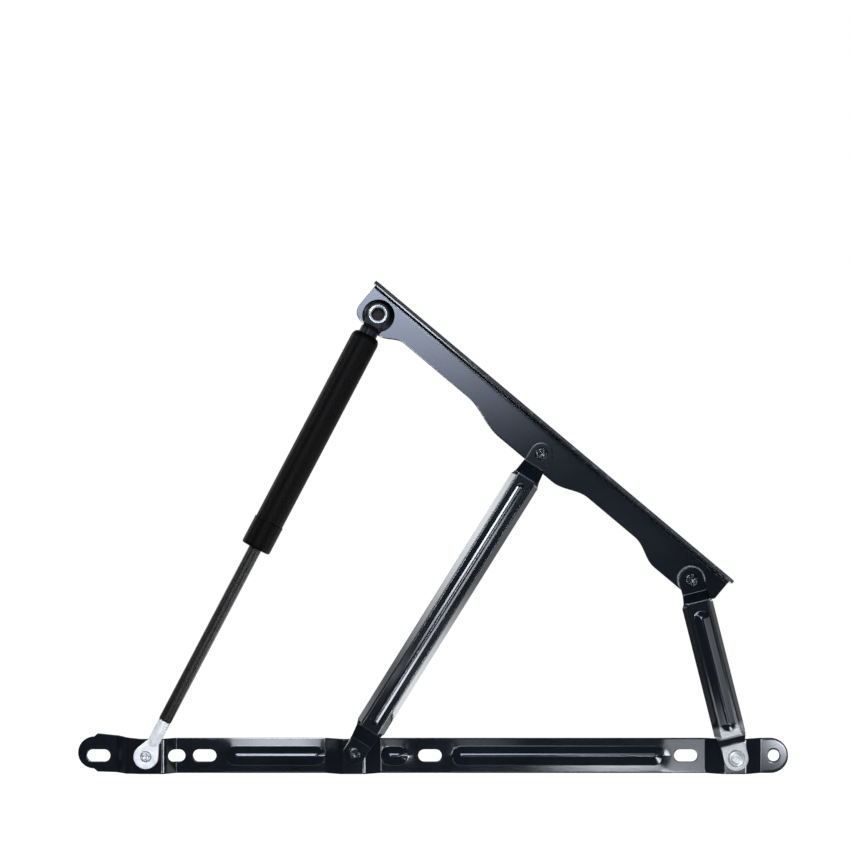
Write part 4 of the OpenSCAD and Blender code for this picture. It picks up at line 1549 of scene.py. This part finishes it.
@dataclass
class Pivots:
    """The rivets, studs and washers of the linkage."""

    finishes: Finishes

    def rivets(self) -> None:
        """All rivets and half studs."""
        dark, peened = self.finishes.dark_rivet, self.finishes.peened
        for name, stands_for, body, at, marks in (
                ("rail_rivet_long_link", "rail_link_rivet", Body.RAIL, LAY.a, 0),
                ("arm_rivet_long_link", "arm_link_rivet", Body.TOP_ARM, LAY.b, 5),
                ("arm_rivet_rear_link", "arm_rear_rivet", Body.TOP_ARM, LAY.c, 4)):
            Rivet(dark, name, stands_for, body, at, back=8.5, seat=10.0, front=15.8, rear_r=6.2, head_r=5.0,
                  rise=1.5, marks=marks).build()
        Rivet(dark, "rail_stud_rear_link", "rear_stud_fixed", Body.RAIL, LAY.d, back=8.5, seat=10.0,
              front=13.2, rear_r=6.2, head_r=4.0, rise=0.19).build()
        Rivet(peened, "peened_head_rear_link", "rear_stud_moving", Body.REAR_LINK, LAY.d, back=13.61,
              seat=13.7, front=15.6, rear_r=4.0, head_r=6.0, rise=1.6, groove=0.5,
              slot="bright_rivet").build()
        Rivet(peened, "stud_tip_gas_spring", "gas_stud_moving", Body.GAS_ROD, LAY.f, back=22.5, seat=22.6,
              front=28.4, rear_r=3.9, head_r=3.88, rise=0.9, marks=4, shank=3.88, slot="bright_rivet").build()

    def collars(self) -> None:
        """The washers and the gas spring's stud with its collar."""
        for name, stands_for, body, at, r in (
                ("rail_washer_long_link", "rail_link_washer", Body.RAIL, LAY.a, 8.4),
                ("rail_washer_rear_link", "rear_stud_washer", Body.RAIL, LAY.d, 8.4),
                ("arm_washer_long_link", "arm_link_washer", Body.TOP_ARM, LAY.b, 8.4),
                ("arm_washer_rear_link", "arm_rear_washer", Body.TOP_ARM, LAY.c, 10.8)):
            line = np.array([[12.5, 4.02], [12.5, r], [13.4, r], [13.4, 4.02]])
            TurnedPiece(self.finishes.washer, name, (stands_for,), body, Bench(*at), Turn.OUT, line,
                        "washer_steel", edge=0.1).build()
        line = np.array([[8.5, 0.0], [8.5, 5.8], [8.9, 6.2], [10.0, 6.2], [10.0, 3.9], [12.5, 3.9],
                         [12.5, 6.1], [12.9, 6.5], [21.6, 6.5], [22.3, 5.8], [22.3, 0.0]])
        TurnedPiece(self.finishes.dark_rivet, "rail_stud_gas_spring", ("gas_stud_fixed",), Body.RAIL,
                    Bench(*LAY.f), Turn.OUT, line, "dark_rivet", closed=False).build()


@dataclass
class InnerParts:
    """Pieces inside the gas spring, which keep the model's own shape."""

    finishes: Finishes

    def build(self, nodes: dict[str, bpy.types.Object]) -> None:
        """Gives each inner piece its finish.

        Args:
            nodes: the model's own pieces by name.
        """
        f = self.finishes
        for name, finish in (("rod_guide", f.brass), ("rod_seal", f.rubber), ("seal_retainer", f.washer),
                             ("piston", f.aluminium), ("piston_ring", f.rubber), ("piston_nut", f.washer)):
            dress(nodes[name], finish)
            LOG.info("dressed %s", name)


@dataclass(frozen=True)
class SoftBox:
    """A rectangular lamp that shows as a soft patch in polished faces.

    Attributes:
        name: the lamp's name.
        at: its place in metres.
        size: width and height in metres.
        watts: its power.
        fade: share of its width and of its height over which its glow fades in, as on a real softbox.
        mirrored: whether polished faces show it.
        aim: the point that it faces, in metres.
        colour: the colour of its light.
    """

    name: str
    at: tuple[float, float, float]
    size: tuple[float, float]
    watts: float
    fade: tuple[float, float] = (0.15, 0.15)
    mirrored: bool = True
    aim: tuple[float, float, float] = (0.06, 0.0, 0.15)
    colour: str = "#FFFFFF"

    def glow(self, lamp: bpy.types.Light) -> None:
        """Fades the lamp towards its edges: the product of two steps of 0.5 - |u - 0.5| over the fades.

        Args:
            lamp: the lamp.
        """
        tree = empty_tree(lamp)
        spot = node(tree, "ShaderNodeNewGeometry").outputs["Parametric"]
        parts = node(tree, "ShaderNodeSeparateXYZ", {0: spot})
        sides = []
        for axis, width in zip("XY", self.fade):
            off = node(tree, "ShaderNodeMath", {0: parts.outputs[axis], 1: 0.5}, operation="SUBTRACT")
            away = node(tree, "ShaderNodeMath", {0: off.outputs[0]}, operation="ABSOLUTE")
            sides.append(node(tree, "ShaderNodeMapRange", {
                "Value": away.outputs[0], "From Min": 0.5, "From Max": 0.5 - width},
                interpolation_type="SMOOTHSTEP").outputs["Result"])
        level = node(tree, "ShaderNodeMath", {0: sides[0], 1: sides[1]}, operation="MULTIPLY").outputs[0]
        light = node(tree, "ShaderNodeEmission", {"Color": linear(self.colour), "Strength": level})
        node(tree, "ShaderNodeOutputLight", {"Surface": light.outputs[0]})

    def build(self) -> None:
        """Makes the lamp and turns it to what it faces."""
        lamp = bpy.data.lights.new(self.name, "AREA")
        lamp.shape = "RECTANGLE"
        lamp.size, lamp.size_y = self.size
        lamp.energy = self.watts
        self.glow(lamp)
        holder = bpy.data.objects.new(self.name, lamp)
        bpy.context.scene.collection.objects.link(holder)
        way = np.array(self.aim) - np.array(self.at)
        tilt = math.pi / 2 - math.atan2(-way[2], math.hypot(way[0], way[1]))
        holder.location = self.at
        holder.rotation_euler = (tilt, 0.0, math.atan2(-way[0], way[1]))
        holder.visible_camera = False
        holder.visible_glossy = self.mirrored


@dataclass
class Studio:
    """Camera, floor, surroundings and lamps.

    Attributes:
        pixel: millimetres per pixel of the photograph, at the rail.
        frame_px: width and height of the picture in pixels.
        axis_px: the photograph's point of sight in pixels.
        origin_px: where the model's origin lies in the picture.
        distance: from the camera to the rail's back, in metres.
        floor_z: height of the floor, in metres.
        dark: how bright the room's dark side is.
        boxes: the lamps.
    """

    pixel: float = 0.77
    frame_px: int = 851
    axis_px: tuple[float, float] = (433.0, 528.0)
    origin_px: tuple[float, float] = (392.25, 755.2)
    distance: float = 2.0
    floor_z: float = -0.32
    dark: float = 0.03
    boxes: tuple[SoftBox, ...] = (
        SoftBox("upper_box", (-0.13, -2.0, 0.68), (1.12, 0.86), 37.0, (0.34, 0.46), colour="#E6EEFF"),
        SoftBox("arm_tail_box", (0.30, -2.0, 0.24), (0.50, 0.46), 0.17, (0.5, 0.5), colour="#DDE9FF"),
        SoftBox("top_strip", (0.0, -2.0, 0.90), (1.9, 0.24), 9.0, (0.1, 0.2), colour="#DDE9FF"),
        SoftBox("low_right_box", (0.44, -2.0, -0.15), (0.18, 0.20), 0.40, (0.3, 0.2)),
        SoftBox("low_right_tab_box", (0.61, -2.0, -0.13), (0.14, 0.12), 1.3, (0.2, 0.3)),
        SoftBox("low_right_strip", (0.32, -2.0, -0.27), (0.28, 0.09), 4.2, (0.4, 0.2)),
        SoftBox("low_left_box", (-0.213, -2.0, 0.0), (0.158, 0.18), 1.0, (0.1, 0.2)),
        SoftBox("bead_line_box", (-0.20, -2.0, 0.27), (0.22, 0.26), 5.0, (0.2, 0.2)),
        SoftBox("low_bead_box", (-0.04, -2.0, -0.03), (0.06, 0.06), 0.04, (0.3, 0.2)),
        SoftBox("low_middle_box", (0.10, -2.0, -0.02), (0.12, 0.12), 0.07, (0.4, 0.3)),
        SoftBox("left_box", (-1.52, -0.72, 1.21), (0.6, 0.62), 26.0, (0.2, 0.5)),
        SoftBox("right_middle_box", (1.45, -1.6, 0.22), (0.9, 0.44), 2.7, (0.3, 0.3)),
        SoftBox("right_box", (1.35, -1.6, -0.15), (0.7, 0.26), 9.0, (0.2, 0.2)),
        SoftBox("right_floor_box", (0.68, -0.33, -0.315), (0.64, 0.34), 4.0, (0.2, 0.15),
                aim=(0.68, -0.33, 1.0)),
        SoftBox("near_floor_box", (0.50, -0.33, -0.312), (0.30, 0.34), 2.8, (0.4, 0.15),
                aim=(0.50, -0.33, 1.0)),
        SoftBox("right_back_floor_box", (0.48, 0.38, -0.315), (0.62, 0.5), 5.6, (0.45, 0.2),
                aim=(0.48, 0.38, 1.0)),
        SoftBox("front_low_strip", (-0.05, -1.15, -0.29), (0.9, 0.05), 0.6, (0.1, 0.1)),
        SoftBox("back_left_box", (-1.55, 1.0, 1.23), (0.9, 0.62), 13.0, (0.2, 0.5)),
        SoftBox("back_left_low_box", (-1.42, 1.0, 0.68), (0.9, 0.5), 3.5, (0.2, 0.5)),
        SoftBox("overhead_fill", (0.1, -0.9, 1.7), (1.6, 1.2), 20.0, mirrored=False),
        SoftBox("front_fill", (0.6, -2.4, 0.9), (1.4, 1.4), 14.0, mirrored=False),
    )

    def camera(self) -> None:
        """The camera: level, its axis through the photograph's point of sight, and a small shift."""
        sensor = 36.0
        data = bpy.data.cameras.new("camera")
        eye = bpy.data.objects.new("camera", data)
        bpy.context.scene.collection.objects.link(eye)
        x = (self.axis_px[0] - self.origin_px[0]) * self.pixel * MM
        z = (self.origin_px[1] - self.axis_px[1]) * self.pixel * MM
        eye.location = (x, -self.distance, z)
        eye.rotation_euler = (math.pi / 2, 0.0, 0.0)
        data.sensor_width = sensor
        data.lens = sensor * self.distance / (self.frame_px * self.pixel * MM)
        half = self.frame_px / 2
        data.shift_x = -(self.axis_px[0] - half) / self.frame_px
        data.shift_y = (self.axis_px[1] - half) / self.frame_px
        bpy.context.scene.camera = eye

    def floor(self) -> None:
        """A plain pale floor, flat on a polar grid: (r cos a, r sin a), with r growing in equal ratios.

        It is white to the camera. Polished faces see it white behind the unit, less so on its left, and dark
        in front of it, as in a room with a dark side behind the camera.
        """
        r = np.concatenate([[0.0], np.geomspace(0.2, 12.0, 12)])[:, None]
        a = np.linspace(0, 2 * np.pi, 48, endpoint=False)
        x, y = (r * np.cos(a)).ravel(), (r * np.sin(a)).ravel()
        points = np.column_stack([x, y, np.full(len(x), self.floor_z)])
        piece = make_piece("studio_floor", points, grid_faces(len(r), len(a), around=True))
        if piece.data.polygons[0].normal.z < 0:
            piece.data.flip_normals()
        made = bpy.data.materials.new("pale_floor")
        tree = empty_tree(made)
        white = linear("#FFFFFF")
        rays = node(tree, "ShaderNodeLightPath").outputs
        spot = node(tree, "ShaderNodeTexCoord").outputs["Object"]
        parts = node(tree, "ShaderNodeSeparateXYZ", {0: spot}).outputs
        right = node(tree, "ShaderNodeMapRange", {
            "Value": parts["X"], "From Min": -0.9, "From Max": -0.2, "To Min": 0.12, "To Max": 0.9},
            interpolation_type="SMOOTHSTEP").outputs["Result"]
        behind = node(tree, "ShaderNodeMapRange", {
            "Value": parts["Y"], "From Min": -0.05, "From Max": 0.25, "To Min": self.dark, "To Max": right},
            interpolation_type="SMOOTHSTEP").outputs["Result"]
        pale = node(tree, "ShaderNodeBsdfDiffuse", {"Color": linear("#F2F2F2")}).outputs[0]
        glow = node(tree, "ShaderNodeEmission", {"Color": white, "Strength": 0.55}).outputs[0]
        seen = node(tree, "ShaderNodeAddShader", {0: pale, 1: glow}).outputs[0]
        mirrored = node(tree, "ShaderNodeEmission", {"Color": white, "Strength": behind}).outputs[0]
        plain = node(tree, "ShaderNodeMixShader", {0: rays["Is Camera Ray"], 1: pale, 2: seen}).outputs[0]
        both = node(tree, "ShaderNodeMixShader", {0: rays["Is Glossy Ray"], 1: plain, 2: mirrored}).outputs[0]
        node(tree, "ShaderNodeOutputMaterial", {"Surface": both})
        dress(piece, made)

    def surroundings(self) -> None:
        """The world: white to the camera, and to polished faces white behind the unit and dark in front."""
        world = bpy.data.worlds.new("studio")
        bpy.context.scene.world = world
        tree = empty_tree(world)
        rays = node(tree, "ShaderNodeLightPath").outputs
        way = node(tree, "ShaderNodeTexCoord").outputs["Generated"]
        y = node(tree, "ShaderNodeSeparateXYZ", {0: way}).outputs["Y"]
        behind = node(tree, "ShaderNodeMapRange", {
            "Value": y, "From Min": 0.25, "From Max": 0.95, "To Min": self.dark, "To Max": 1.0},
            interpolation_type="SMOOTHSTEP").outputs["Result"]
        fill = node(tree, "ShaderNodeMix", {
            "Factor": rays["Is Glossy Ray"], 2: 0.55, 3: behind}, data_type="FLOAT").outputs[0]
        level = node(tree, "ShaderNodeMix", {
            "Factor": rays["Is Camera Ray"], 2: fill, 3: 1.0}, data_type="FLOAT").outputs[0]
        back = node(tree, "ShaderNodeBackground", {"Color": linear("#FFFFFF"), "Strength": level})
        node(tree, "ShaderNodeOutputWorld", {"Surface": back.outputs[0]})

    def build(self) -> None:
        """Sets up the whole studio."""
        self.camera()
        self.floor()
        self.surroundings()
        for box in self.boxes:
            box.build()
        bpy.context.scene.view_settings.view_transform = "Standard"


def main() -> None:
    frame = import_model()
    finishes = Finishes()
    WallRail(finishes).build()
    PressedLink(finishes, "long_link_channel", "long_link", Body.LONG_LINK, LAY.between(LAY.a, LAY.b),
                LAY.long_length, width=24.5, side=4.6, ear=8.8, shoulder=21.5,
                rib=Rib(27.0, LAY.long_length - 28.0, 5.1, 1.4, 1.6, 0.8)).build()
    # The rear link's far end is given a painted highlight of bright metal.
    PressedLink(finishes, "rear_link_channel", "rear_link", Body.REAR_LINK, LAY.between(LAY.c, LAY.d),
                LAY.rear_length, width=25.0, side=4.3, ear=9.4, shoulder=17.2,
                rib=Rib(24.8, LAY.rear_length - 21.8, 11.2, 1.8, 4.0, 0.9), painted_highlight_end=True).build()
    TopArm(finishes).build()
    pivots = Pivots(finishes)
    pivots.rivets()
    pivots.collars()
    GasSpring(finishes).build()
    InnerParts(finishes).build(frame["nodes"])
    Studio().build()


if __name__ == "__main__":
    logging.basicConfig(level=logging.INFO)
    main()
